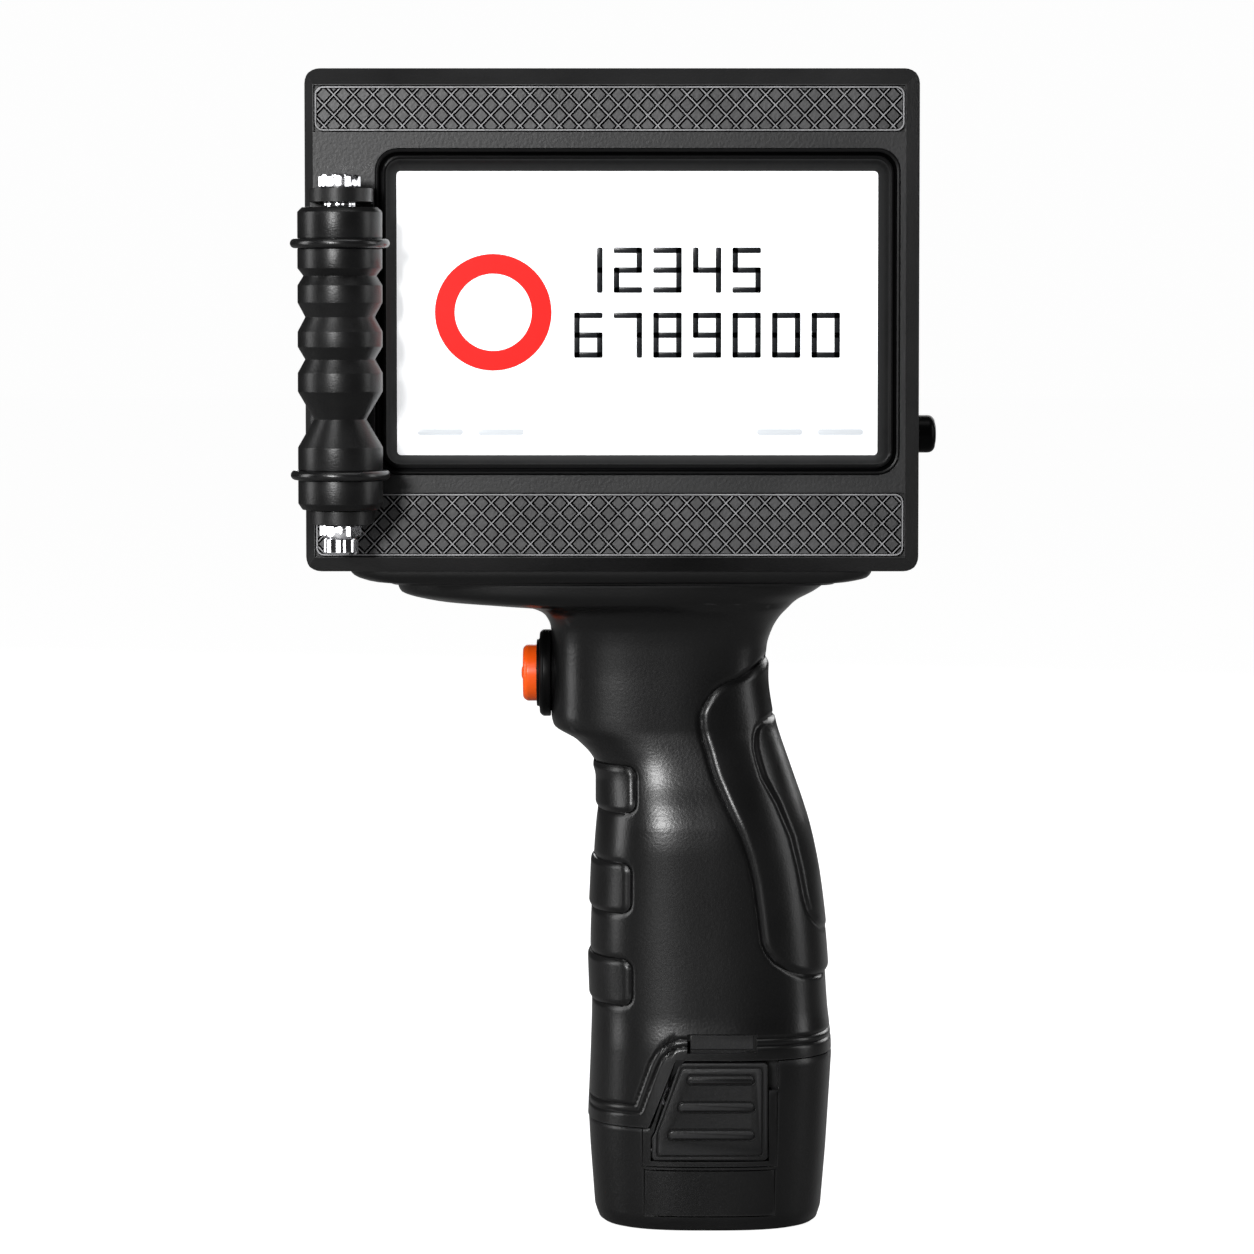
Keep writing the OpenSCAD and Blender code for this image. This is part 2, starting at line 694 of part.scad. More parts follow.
// Side outline of the palm pad: slanted top, waist and round bottom corner
PALM_OUTLINE = [
    [30, 51.2], [18.5, 52], [13.1, 54.6], [10.7, 58.5], [9, 70.6], [6, 80.6], [1, 91.4], [-0.5, 96.7],
    [-1.8, 101.2], [-1.9, 102.7], [-1.2, 105.9], [1, 108.9], [4.9, 110.8], [8.2, 112.3], [11.3, 114.6], [30, 123]
];

module palm_pad() color([0.1, 0.1, 0.11]) grip_pad(51.3, 114.5, 0.9, PALM_OUTLINE);

module finger_pads() color([0.1, 0.1, 0.11]) {
    for (z = [[84.4, 93.6], [64.2, 74.3], [45.5, 54.8]]) {
        grip_pad(z[0], z[1], 0.8, [[-40, z[0] - 1], [-15.6, z[0] - 1], [-15.6, z[1] + 1], [-40, z[1] + 1]]);
    }
}

// ---------- trigger ----------

module trigger_bezel() color([0.05, 0.05, 0.06]) {
    difference() {
        union() {
            rod_x(trigger_face - 2.3, trigger_face, 0, trigger_z, bezel_r);
            rod_x(trigger_face - 2.9, trigger_face - 2.2, 0, trigger_z, 6.75);
            rod_x(trigger_face, -17, 0, trigger_z, 7.7);
        }
        rod_x(trigger_face - 4, -18.5, 0, trigger_z, trigger_r + 0.3);
        rod_x(-19, -16, 0, trigger_z, 3.4, small_fn);
    }
}

module trigger_nut() color([0.1, 0.1, 0.1]) {
    difference() {
        rod_x(-28.4, -26.2, 0, trigger_z, 10, 6);
        rod_x(-31, -26, 0, trigger_z, 7.75);
    }
}

module trigger_switch() color([0.15, 0.15, 0.16]) {
    box([-17, -6, trigger_z - 6], [-9.5, 6, trigger_z + 6]);
    for (y = [-3, 3]) box([-9.5, y - 0.4, trigger_z - 1.5], [-6.6, y + 0.4, trigger_z + 1.5]);
}

// A coil spring along X, between two X values
module coil_spring(x0, x1, z, r, wire, turns) {
    translate([x0 + wire, 0, z]) rotate([0, 90, 0])
        linear_extrude(height = x1 - x0 - 2 * wire, twist = -360 * turns, slices = 12 * turns)
            translate([r, 0]) circle(wire, $fn = 8);
}

module trigger_spring() color([0.8, 0.8, 0.82]) {
    coil_spring(-25.6, -18.7, trigger_z, 3.6, 0.45, 4);
}

module trigger_button() color([1, 0.42, 0.1]) {
    rod_x(-37.3, -26, 0, trigger_z, trigger_r);
    rod_x(-37.85, -37.3, 0, trigger_z, trigger_r - 0.6);
    rod_x(-38.1, -37.8, 0, trigger_z, 1.2, small_fn);
    rod_x(-26, -20.5, 0, trigger_z, 2.6, small_fn);
}

// ---------- grip interior ----------

module terminal_block() color([0.55, 0.12, 0.1]) {
    box([pack_x - 12.7, -8, 80.5], [pack_x + 12.7, 8, 86]);
}

module terminal_blades() color([0.85, 0.6, 0.3]) {
    for (i = [-1:1]) box([pack_x + slot_pitch * i - 0.4, -3, 74], [pack_x + slot_pitch * i + 0.4, 3, 80.5]);
}

module wiring_harness() color([0.7, 0.1, 0.1]) {
    bend = 4;
    for (i = [0:2]) {
        x = -4.2 + 2.1 * i;
        rod_z(86, 142, x, -6, 0.8, small_fn);
        translate([x, -6 - bend, 142]) rotate([90, 0, 90])
            rotate_extrude(angle = 90, $fn = round_fn) translate([bend, 0]) circle(0.8, $fn = small_fn);
        rod_y(board_y + 7.5, -6 - bend, x, 142 + bend, 0.8, small_fn);
    }
}

// ---------- battery ----------

// Axes of the three cells: one at the front of the grip and two at the back
CELLS = [[pack_x - 7.85, 0], [pack_x + 7.84, cell_gap_r], [pack_x + 7.84, -cell_gap_r]];

// The three-lobed stick that holds the cells
module stick(z0, z1, grow) {
    hull() for (c = CELLS) rod_z(z0, z1, c[0], c[1], cell_r + grow, 32);
}

// Outline of a latch's thumb pad up to z1, with room round it
function latch_outline(room, z1) = [
    [-11.6 - room, 14.8 - room], [11.55 + room, 14.8 - room], [11.55 + room, z1],
    [-6.2 - room, z1], [-11 - room, 20.4], [-11.6 - room, 19.4]
];

module battery_case() color([0.15, 0.15, 0.16]) {
    steps = 36;
    difference() {
        intersection() {
            linear_extrude(40) polygon([
                for (i = [0:steps - 1]) let (p = oval_point(0, pack_half_l, pack_half_t, 360 * (i + 0.5) / steps, 0))
                    [p[0], p[1]]
            ]);
            slab_y(-30, 30) polygon(PACK_SIDE);
        }
        stick(tower_z0, 40, tower_wall + 0.3);
        for (s = [-1, 1]) {
            slab_y(s < 0 ? -30 : 19, s < 0 ? -19 : 30) polygon(latch_outline(0.3, 36));
            rod_x(-13.1, 13, s * latch_y, latch_z, 0.66, small_fn);
            rod_y(s < 0 ? -20 : 14, s < 0 ? -14 : 20, spring_x, spring_z, 2.6, small_fn);
        }
    }
}

module battery_tower() color([0.12, 0.12, 0.13]) {
    difference() {
        stick(tower_z0, tower_top, tower_wall);
        stick(cell_z0 - 0.6, cell_z0 + cell_l + 2.2, 0.06);
        for (i = [-1:1])
            box([pack_x + slot_pitch * i - 1.1, -4.2, 73.4], [pack_x + slot_pitch * i + 1.1, 4.2, tower_top + 1]);
        for (s = [-1, 1]) box([-4.9, s < 0 ? -24 : 18.2, 34], [9.7, s < 0 ? -18.2 : 24, 42.5]);
    }
}

module battery_cells() color([0.2, 0.45, 0.7]) {
    for (c = CELLS) {
        rod_z(cell_z0, cell_z0 + cell_l - 0.6, c[0], c[1], cell_r);
        rod_z(cell_z0 + cell_l - 0.6, cell_z0 + cell_l, c[0], c[1], 3, small_fn);
    }
}

module battery_board() color([0.05, 0.35, 0.15]) {
    stick(cell_z0 + cell_l, cell_z0 + cell_l + 1.2, -1);
}

// Sprung strips on both sides of each slot in the top of the stick
module battery_terminals() color([0.85, 0.7, 0.3]) {
    for (i = [-1:1], s = [-1, 1]) {
        x = pack_x + slot_pitch * i + s * 0.92;
        box([x - 0.18, -3.6, 73.4], [x + 0.18, 3.6, 77.4]);
    }
}

module latch(side) {
    y0 = side < 0 ? -22.7 : 20.2;
    slab_y(y0, y0 + 2.5) polygon(latch_outline(0, 34.7));
    box([-4, side < 0 ? -20.9 : 20, 30], [8.85, side < 0 ? -20 : 20.9, 40.1]);
    box([-4, side < 0 ? -21.3 : 20.5, 37], [8.85, side < 0 ? -20.5 : 21.3, 40.1]);
    rod_x(-12.9, 12.8, side * latch_y, latch_z, 0.6, small_fn);
}

module latch_near() color([0.13, 0.13, 0.14]) latch(-1);
module latch_far() color([0.13, 0.13, 0.14]) latch(1);

module latch_springs() color([0.8, 0.8, 0.82]) {
    for (s = [-1, 1])
        translate([spring_x, s * 17.1, spring_z]) rotate([0, 0, 90]) coil_spring(-3, 3, 0, 2, 0.35, 4);
}

head_front_shell();
head_rear_shell();
screen_bezel();
touch_glass();
lcd_panel();
upper_grip_strip();
lower_grip_strip();
main_board();
board_components();
board_standoffs();
cartridge_cradle();
contact_block();
print_face_plate();
face_plate_screws();
head_screws();
power_switch_body();
usb_port();
front_roller_bracket();
rear_roller_bracket();
front_roller_bolt();
rear_roller_bolt();
front_roller_nuts();
rear_roller_nuts();
front_roller_spacers();
rear_roller_spacers();
encoder_sensor();
mount_plate();
handle_near_shell();
handle_far_shell();
handle_screws();
palm_pad();
finger_pads();
trigger_bezel();
trigger_nut();
trigger_switch();
trigger_spring();
terminal_block();
terminal_blades();
wiring_harness();
clamp_lever_pin();
trigger_button();
power_button();
front_spool();
front_rings();
front_bearings();
rear_spool();
rear_rings();
rear_bearings();
encoder_disc();
battery_case();
battery_tower();
battery_cells();
battery_board();
battery_terminals();
latch_near();
latch_far();
latch_springs();
cartridge_case();
cartridge_head();
clamp_lever();
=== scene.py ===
"""Looks of the handheld ink coder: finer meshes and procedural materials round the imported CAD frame.

Sizes are written in millimetres and turned into metres by MM where a mesh is made.
+X is the back of the tool, -X the print face, -Y the screen side and +Z is up.
"""
import json
import math

import bmesh
import bpy
import numpy as np
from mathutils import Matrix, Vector

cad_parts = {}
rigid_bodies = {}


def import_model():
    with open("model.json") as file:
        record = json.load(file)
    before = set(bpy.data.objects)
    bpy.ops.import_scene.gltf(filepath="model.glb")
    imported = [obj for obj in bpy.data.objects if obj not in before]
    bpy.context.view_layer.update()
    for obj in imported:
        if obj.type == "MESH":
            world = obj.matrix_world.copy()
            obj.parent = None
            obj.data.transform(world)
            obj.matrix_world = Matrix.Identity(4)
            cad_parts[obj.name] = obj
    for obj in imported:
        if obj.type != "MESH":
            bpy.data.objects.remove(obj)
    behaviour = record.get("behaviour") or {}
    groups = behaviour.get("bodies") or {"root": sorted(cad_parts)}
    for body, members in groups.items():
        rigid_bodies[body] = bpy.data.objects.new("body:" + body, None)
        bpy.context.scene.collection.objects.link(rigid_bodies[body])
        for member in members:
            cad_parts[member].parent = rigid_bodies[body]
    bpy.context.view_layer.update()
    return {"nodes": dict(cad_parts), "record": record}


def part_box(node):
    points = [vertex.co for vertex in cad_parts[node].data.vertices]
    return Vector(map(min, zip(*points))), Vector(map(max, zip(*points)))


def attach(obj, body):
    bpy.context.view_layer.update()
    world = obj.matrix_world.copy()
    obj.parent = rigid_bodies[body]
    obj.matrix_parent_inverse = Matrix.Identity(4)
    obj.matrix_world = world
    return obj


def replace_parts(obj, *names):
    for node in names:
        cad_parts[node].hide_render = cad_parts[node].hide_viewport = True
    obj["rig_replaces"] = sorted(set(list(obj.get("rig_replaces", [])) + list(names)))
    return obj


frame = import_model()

MM = 0.001
RECORD = frame["record"]
BODY = {node: body for body, nodes in RECORD["behaviour"]["bodies"].items() for node in nodes}
SLOT = {part["node"]: part["material_slot"] for part in RECORD["subparts"]}
HAIR = 0.001  # edge of the cutters and plain blocks, too fine to see


def cad(node):
    """Lowest and highest corner of a CAD node, in millimetres."""
    lo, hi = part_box(node)
    return lo / MM, hi / MM


# ---------- materials ----------

def node_of(tree, kind, **inputs):
    """A new shader node with values on its own sockets; a socket's spaces are written as _."""
    node = tree.nodes.new(kind)
    for name, value in inputs.items():
        node.inputs[name.replace("_", " ")].default_value = value
    return node


def material(name, dark, light, rough, grain=900, bump=0.25, mottle=45, metallic=0.0, edge=None,
             specular=0.5, streak=(1, 1, 1), rough_spread=0.07):
    """A procedural surface: mottled colour, uneven gloss, a moulded grain and a painted highlight along sharp
    edges.

    dark and light end the mottled colour, and edge is the colour of the painted highlight along sharp edges.
    mottle and grain are the scales of the coarse and the fine noise, and streak stretches both.
    """
    mat = bpy.data.materials.new(name)
    mat.use_nodes = True
    tree = mat.node_tree
    link = tree.links.new
    shader = tree.nodes["Principled BSDF"]
    shader.inputs["Metallic"].default_value = metallic
    shader.inputs["Specular IOR Level"].default_value = specular
    place = node_of(tree, "ShaderNodeTexCoord")
    spread = node_of(tree, "ShaderNodeMapping", Scale=streak)
    link(place.outputs["Object"], spread.inputs["Vector"])

    cloud = node_of(tree, "ShaderNodeTexNoise", Scale=mottle, Detail=5)
    link(spread.outputs["Vector"], cloud.inputs["Vector"])
    ramp = node_of(tree, "ShaderNodeValToRGB")
    for stop, position, shade in zip(ramp.color_ramp.elements, (0.3, 0.7), (dark, light)):
        stop.position = position
        stop.color = (*shade, 1)
    link(cloud.outputs["Fac"], ramp.inputs["Fac"])
    colour = ramp.outputs["Color"]
    # Painted highlight: where the mesh turns sharply (pointiness) the colour is lightened towards edge
    if edge:
        shape = node_of(tree, "ShaderNodeNewGeometry")
        edge_highlight_amount = node_of(tree, "ShaderNodeMapRange", From_Min=0.52, From_Max=0.6, To_Max=0.6)
        link(shape.outputs["Pointiness"], edge_highlight_amount.inputs["Value"])
        edge_highlight_mix = node_of(tree, "ShaderNodeMixRGB", Color2=(*edge, 1))
        link(edge_highlight_amount.outputs["Result"], edge_highlight_mix.inputs["Fac"])
        link(colour, edge_highlight_mix.inputs["Color1"])
        colour = edge_highlight_mix.outputs["Color"]
    link(colour, shader.inputs["Base Color"])

    gloss = node_of(tree, "ShaderNodeMapRange", To_Min=rough - rough_spread, To_Max=rough + rough_spread)
    link(cloud.outputs["Fac"], gloss.inputs["Value"])
    link(gloss.outputs["Result"], shader.inputs["Roughness"])

    fine = node_of(tree, "ShaderNodeTexNoise", Scale=grain, Detail=3)
    link(spread.outputs["Vector"], fine.inputs["Vector"])
    relief = node_of(tree, "ShaderNodeBump", Strength=bump, Distance=0.0002)
    link(fine.outputs["Fac"], relief.inputs["Height"])
    link(relief.outputs["Normal"], shader.inputs["Normal"])
    return mat


def glow(name, base, strength):
    """A lit screen colour: a smooth glass-like surface that also gives light."""
    mat = material(name, base, base, 0.2, grain=300, bump=0.02, rough_spread=0.02)
    shader = mat.node_tree.nodes["Principled BSDF"]
    shader.inputs["Emission Color"].default_value = (*base, 1)
    shader.inputs["Emission Strength"].default_value = strength
    return mat


def grey(v, blue=1.03):
    """A dark or light grey with a slightly cool tint."""
    return (v, v, v * blue)


# Where edge is given, it is the colour of a painted highlight along the sharp edges
MATS = {
    "head_plastic": material("head_plastic", grey(0.008), grey(0.02), 0.4, 1500, 0.22, 38, specular=0.4),
    "gloss_trim": material("gloss_trim", grey(0.001), grey(0.0025), 0.32, 700, 0.06, 30, specular=0.08,
                           edge=grey(0.015)),
    "screen_glass": glow("screen_glass", (0.8, 0.81, 0.82), 0.8),
    "grip_texture": material("grip_texture", grey(0.036), grey(0.06), 0.42, 1800, 0.25, 80),
    "circuit_board": material("circuit_board", (0.01, 0.09, 0.03), (0.015, 0.13, 0.045), 0.4, 400, 0.2, 200),
    "dark_parts": material("dark_parts", grey(0.012), grey(0.022), 0.5, 900, 0.3, 120),
    "steel": material("steel", grey(0.42), grey(0.55), 0.3, 500, 0.12, 25, metallic=1.0,
                      streak=(1, 1, 14)),
    "black_screws": material("black_screws", grey(0.02), grey(0.045), 0.32, 600, 0.15, 200, metallic=0.6),
    "chrome_hardware": material("chrome_hardware", grey(0.82), grey(0.92), 0.1, 500, 0.05, 60, metallic=1.0,
                                rough_spread=0.04),
    "bracket_black": material("bracket_black", grey(0.005), grey(0.01), 0.4, 1200, 0.2, 90, specular=0.35),
    "spool_black": material("spool_black", grey(0.003), grey(0.007), 0.34, 1300, 0.16, 70,
                            streak=(1, 1, 3), edge=grey(0.04), specular=0.32),
    "ring_rubber": material("ring_rubber", grey(0.004), grey(0.008), 0.26, 800, 0.1, 50),
    "handle_plastic": material("handle_plastic", grey(0.003), grey(0.0055), 0.29, 1700, 0.14, 40,
                               edge=grey(0.025), specular=0.4, rough_spread=0.04),
    "soft_grip": material("soft_grip", grey(0.003), grey(0.005), 0.31, 2000, 0.15, 70,
                          edge=grey(0.03), specular=0.4),
    "trigger_orange": material("trigger_orange", (0.97, 0.085, 0.004), (1.0, 0.115, 0.006), 0.3, 600, 0.06,
                               40, specular=0.35),
    "battery_plastic": material("battery_plastic", grey(0.0035), grey(0.006), 0.33, 1600, 0.18, 45,
                                edge=grey(0.03), specular=0.35),
    "cell_wrap": material("cell_wrap", (0.03, 0.13, 0.4), (0.04, 0.17, 0.5), 0.3, 300, 0.08, 90),
    "contact_metal": material("contact_metal", (0.75, 0.5, 0.17), (0.85, 0.6, 0.22), 0.25, 500, 0.08, 80,
                              metallic=1.0),
    "connector_red": material("connector_red", (0.35, 0.02, 0.015), (0.45, 0.03, 0.02), 0.45, 800, 0.25, 90),
    "wire_jacket": material("wire_jacket", (0.4, 0.015, 0.012), (0.5, 0.02, 0.018), 0.4, 900, 0.15, 90),
    "cartridge_plastic": material("cartridge_plastic", grey(0.014), grey(0.023), 0.45, 1300, 0.3, 60),
    "lever_grey": material("lever_grey", grey(0.1), grey(0.14), 0.42, 1300, 0.3, 60),
    # Looks within a slot: the start page, and for the grip strips a painted highlight on the ridges and
    # painted shade in the grooves
    "screen_red": glow("screen_red", (0.7, 0.012, 0.01), 0.7),
    "screen_ink": glow("screen_ink", (0.01, 0.011, 0.013), 0.02),
    "screen_grey": glow("screen_grey", (0.62, 0.65, 0.68), 0.3),
    "ridge_rubbed": material("ridge_rubbed", grey(0.17), grey(0.32), 0.38, 1800, 0.15, 150),
    "moat_dark": material("moat_dark", grey(0.0025), grey(0.005), 0.6, 1800, 0.2, 80, specular=0.05),
}


# ---------- mesh tools ----------

DOUBLE = 2e-6  # metres within which two vertices are one


def finish_mesh(mesh, sharp):
    """Merges doubles, points the normals outwards and marks the edges that turn by more than sharp."""
    bm = bmesh.new()
    bm.from_mesh(mesh)
    bmesh.ops.remove_doubles(bm, verts=bm.verts, dist=DOUBLE)
    bmesh.ops.dissolve_degenerate(bm, dist=DOUBLE / 2, edges=bm.edges)
    bmesh.ops.recalc_face_normals(bm, faces=bm.faces)
    limit = math.radians(sharp)
    for face in bm.faces:
        face.smooth = True
    for e in bm.edges:
        e.smooth = not (len(e.link_faces) == 2 and e.calc_face_angle(0) > limit)
    bm.to_mesh(mesh)
    bm.free()


def placed(name, mesh):
    """An object in the scene with this mesh."""
    piece = bpy.data.objects.new(name, mesh)
    bpy.context.scene.collection.objects.link(piece)
    return piece


def new_object(name, verts, faces, sharp=38):
    """An object from vertices in millimetres and faces."""
    mesh = bpy.data.meshes.new(name)
    mesh.from_pydata([tuple(c * MM for c in v) for v in verts], [], [tuple(f) for f in faces])
    mesh.validate()
    finish_mesh(mesh, sharp)
    return placed(name, mesh)


def dress(piece, body, slot, *nodes, mat=None):
    """Gives a piece its material, the body it rides on and the CAD nodes that it stands for."""
    piece.data.materials.clear()
    piece.data.materials.append(MATS[mat or slot])
    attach(piece, body)
    if nodes:
        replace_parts(piece, *nodes)
    return piece


def dress_as(piece, node, mat=None):
    """Dresses a piece that stands for one CAD node."""
    return dress(piece, BODY[node], SLOT[node], node, mat=mat)


def applied(piece, sharp=38):
    """Applies a piece's modifiers to its mesh."""
    graph = bpy.context.evaluated_depsgraph_get()
    mesh = bpy.data.meshes.new_from_object(piece.evaluated_get(graph))
    piece.modifiers.clear()
    old = piece.data
    piece.data = mesh
    bpy.data.meshes.remove(old)
    if sharp:
        finish_mesh(mesh, sharp)
    return piece


def bevelled(piece, width, segments=2, angle=28):
    """A piece with every edge that turns by more than angle rounded off."""
    mod = piece.modifiers.new("bevel", "BEVEL")
    mod.width = width * MM
    mod.segments = segments
    mod.limit_method = "ANGLE"
    mod.angle_limit = math.radians(angle)
    mod.use_clamp_overlap = True
    level = piece.modifiers.new("level", "WEIGHTED_NORMAL")
    level.keep_sharp = True
    return applied(piece, sharp=None)


def refined(node, width, segments=2):
    """A CAD node's own shape as one clean mesh with rounded edges."""
    mesh = frame["nodes"][node].data.copy()
    mesh.name = node + "_fine"
    bm = bmesh.new()
    bm.from_mesh(mesh)
    bmesh.ops.remove_doubles(bm, verts=bm.verts, dist=DOUBLE)
    bmesh.ops.dissolve_limit(bm, angle_limit=math.radians(0.6), verts=bm.verts, edges=bm.edges)
    for face in bm.faces:
        face.smooth = True
    bm.to_mesh(mesh)
    bm.free()
    for layer in list(mesh.uv_layers):
        mesh.uv_layers.remove(layer)
    piece = placed(mesh.name, mesh)
    bevelled(piece, width, segments)
    return dress_as(piece, node)


def cut(piece, *cutters, crossing=False):
    """Takes each cutter out of a piece; crossing allows for cutters whose parts cross each other."""
    for tool in cutters:
        mod = piece.modifiers.new("cut", "BOOLEAN")
        mod.object = tool
        mod.operation = "DIFFERENCE"
        mod.solver = "EXACT"
        mod.use_self = crossing
    applied(piece)
    for tool in cutters:
        bpy.data.objects.remove(tool)
    return piece


def soften(points, d, closed=True, n=3):
    """Rounds each corner of a polyline, d from the corner."""
    out = []
    count = len(points)
    for i, p in enumerate(points):
        if not closed and i in (0, count - 1):
            out.append(tuple(p))
            continue
        p = np.array(p, float)
        a = np.array(points[i - 1], float)
        b = np.array(points[(i + 1) % count], float)
        la, lb = np.linalg.norm(a - p), np.linalg.norm(b - p)
        r = min(d, la * 0.45, lb * 0.45)
        p0, p1 = p + (a - p) * r / la, p + (b - p) * r / lb
        for k in range(n + 1):
            t = k / n
            out.append(tuple((1 - t) ** 2 * p0 + 2 * t * (1 - t) * p + t * t * p1))
    return out


def turn(steps):
    """The angles of one turn in equal steps."""
    return [2 * math.pi * i / steps for i in range(steps)]


def round_rect(x0, z0, x1, z1, r, n=6):
    """A rectangle with corners of radius r, anticlockwise, n steps to a corner."""
    corners = ((x1 - r, z1 - r), (x0 + r, z1 - r), (x0 + r, z0 + r), (x1 - r, z0 + r))
    out = []
    for quarter, (cx, cz) in enumerate(corners):
        for i in range(n + 1):
            a = math.radians(90 * quarter + 90 * i / n)
            out.append((cx + r * math.cos(a), cz + r * math.sin(a)))
    return out


def inset(points, d):
    """An anticlockwise outline moved inwards by d."""
    out = []
    count = len(points)
    for i, p in enumerate(points):
        p = np.array(p, float)
        a = np.array(points[i - 1], float)
        b = np.array(points[(i + 1) % count], float)
        u = (p - a) / max(np.linalg.norm(p - a), 1e-9)
        v = (b - p) / max(np.linalg.norm(b - p), 1e-9)
        na, nb = np.array([-u[1], u[0]]), np.array([-v[1], v[0]])
        mid = na + nb
        mid = mid / max(np.linalg.norm(mid), 1e-9)
        out.append(tuple(p + mid * d / max(mid.dot(na), 0.5)))
    return out


def rings(name, loops, sharp=38, closed_ring=False):
    """A solid skinned over loops that all have the same number of points."""
    m = len(loops[0])
    verts = [p for loop in loops for p in loop]
    faces = []
    span = len(loops) if closed_ring else len(loops) - 1
    for k in range(span):
        a, b = k * m, ((k + 1) % len(loops)) * m
        for i in range(m):
            j = (i + 1) % m
            faces.append((a + i, b + i, b + j, a + j))
    if not closed_ring:
        faces.append(tuple(range(m)))
        faces.append(tuple(range(len(verts) - 1, len(verts) - 1 - m, -1)))
    return new_object(name, verts, faces, sharp)


def plate_y(name, outline, front, back, edge=0.25, both=False, sharp=38):
    """An outline in X and Z made solid along Y, with its front edge rounded, and its back edge if both."""
    s = 1 if back > front else -1
    turns = [math.radians(30 * k) for k in range(4)]
    loops = []
    for t in turns:
        loop = inset(outline, edge * (1 - math.sin(t)))
        loops.append([(p[0], front + s * edge * (1 - math.cos(t)), p[1]) for p in loop])
    if both:
        for t in turns[::-1]:
            loop = inset(outline, edge * (1 - math.sin(t)))
            loops.append([(p[0], back - s * edge * (1 - math.cos(t)), p[1]) for p in loop])
    else:
        loops.append([(p[0], back, p[1]) for p in outline])
    return rings(name, loops, sharp)


def lathe(name, profile, axis, at, steps=72, closed=False, sharp=38):
    """A profile of (radius, height) pairs turned about an axis through at."""
    loops = []
    for r, h in profile:
        loop = []
        for a in turn(steps):
            u, v = r * math.cos(a), r * math.sin(a)
            offset = {"x": (h, u, v), "y": (u, h, v), "z": (u, v, h)}[axis]
            loop.append(tuple(at[k] + offset[k] for k in range(3)))
        loops.append(loop)
    return rings(name, loops, sharp, closed_ring=closed)


def joined(name, parts, sharp=None):
    """Several objects as one; sharp, if given, cleans the mesh again."""
    bm = bmesh.new()
    for part in parts:
        bm.from_mesh(part.data)
        bpy.data.objects.remove(part)
    mesh = bpy.data.meshes.new(name)
    bm.to_mesh(mesh)
    bm.free()
    if sharp:
        finish_mesh(mesh, sharp)
    return placed(name, mesh)


def block(name, lo, hi):
    """A plain box between two corners."""
    x0, y0, z0 = lo
    x1, y1, z1 = hi
    return plate_y(name, [(x0, z0), (x1, z0), (x1, z1), (x0, z1)], y0, y1, edge=HAIR)


# ---------- camera, lights and floor ----------

def camera():
    """The photo's view: a long lens about a metre in front of the screen, tilted a little downwards."""
    across, back, height, tilt = -0.01663, -1.04, 0.1962, 3.603
    data = bpy.data.cameras.new("camera")
    data.sensor_width = 36
    data.lens = 147.02
    data.shift_y = -0.04
    data.clip_end = 20
    rig = bpy.data.objects.new("camera", data)
    rig.location = (across, back, height)
    rig.rotation_euler = (math.radians(90 - tilt), 0, 0)
    bpy.context.scene.collection.objects.link(rig)
    bpy.context.scene.camera = rig


def area_light(name, place, target, size, power):
    """A rectangular light at place that faces target, in metres and watts."""
    data = bpy.data.lights.new(name, "AREA")
    data.shape = "RECTANGLE"
    data.size, data.size_y = size
    data.energy = power
    light = bpy.data.objects.new(name, data)
    light.location = place
    light.rotation_euler = (Vector(target) - Vector(place)).to_track_quat("-Z", "Y").to_euler()
    bpy.context.scene.collection.objects.link(light)
    return light


def floor_material():
    """A pale floor that the camera sees bright while it throws little light back on the tool."""
    mat = material("floor", (0.2, 0.2, 0.2), (0.22, 0.22, 0.22), 0.6, 200, 0.02, 5)
    tree = mat.node_tree
    link = tree.links.new
    pale = node_of(tree, "ShaderNodeEmission", Color=(0.965, 0.965, 0.965, 1))
    ray = node_of(tree, "ShaderNodeLightPath")
    link(ray.outputs["Is Camera Ray"], pale.inputs["Strength"])
    both = node_of(tree, "ShaderNodeAddShader")
    link(tree.nodes["Principled BSDF"].outputs["BSDF"], both.inputs[0])
    link(pale.outputs["Emission"], both.inputs[1])
    link(both.outputs["Shader"], tree.nodes["Material Output"].inputs["Surface"])
    return mat


def backdrop():
    """A world that the camera sees nearly white, and that hardly lights the tool."""
    world = bpy.data.worlds.new("studio")
    bpy.context.scene.world = world
    world.use_nodes = True
    tree = world.node_tree
    link = tree.links.new
    seen = tree.nodes["Background"]
    seen.inputs["Color"].default_value = (0.985, 0.985, 0.985, 1)
    around = node_of(tree, "ShaderNodeBackground", Color=(1, 1, 1, 1), Strength=0.05)
    ray = node_of(tree, "ShaderNodeLightPath")
    either = node_of(tree, "ShaderNodeMixShader")
    link(ray.outputs["Is Camera Ray"], either.inputs["Fac"])
    link(around.outputs["Background"], either.inputs[1])
    link(seen.outputs["Background"], either.inputs[2])
    link(either.outputs["Shader"], tree.nodes["World Output"].inputs["Surface"])
    bpy.context.scene.view_settings.view_transform = "Standard"


def studio_lights():
    """Soft lights all round: key and high in front, side and left as rims, top and rear."""
    middle = (0, 0, 0.13)
    area_light("key", (-0.36, -1.0, 0.36), (-0.01, 0, 0.09), (0.2, 0.15), 8)
    area_light("high", (-0.45, -0.9, 0.85), (-0.02, 0, 0.17), (0.4, 0.25), 4)
    area_light("side", (0.95, -0.15, 0.3), middle, (0.25, 0.9), 2.6)
    area_light("left", (-0.95, -0.1, 0.25), middle, (0.3, 0.9), 4.5)
    area_light("top", (0, -0.25, 0.95), middle, (0.8, 0.3), 1.6)
    area_light("rear", (0.3, 1.1, 0.6), middle, (1.2, 0.8), 9)


def ground():
    """The floor under the tool, which isn't part of it."""
    bpy.ops.mesh.primitive_plane_add(size=12, location=(0, 0, 0))
    floor = bpy.context.object
    floor.name = "floor"
    floor.data.materials.append(floor_material())


camera()
backdrop()
studio_lights()
ground()


# ---------- head ----------

for half in ("head_front_shell", "head_rear_shell"):
    refined(half, 0.5, 3)


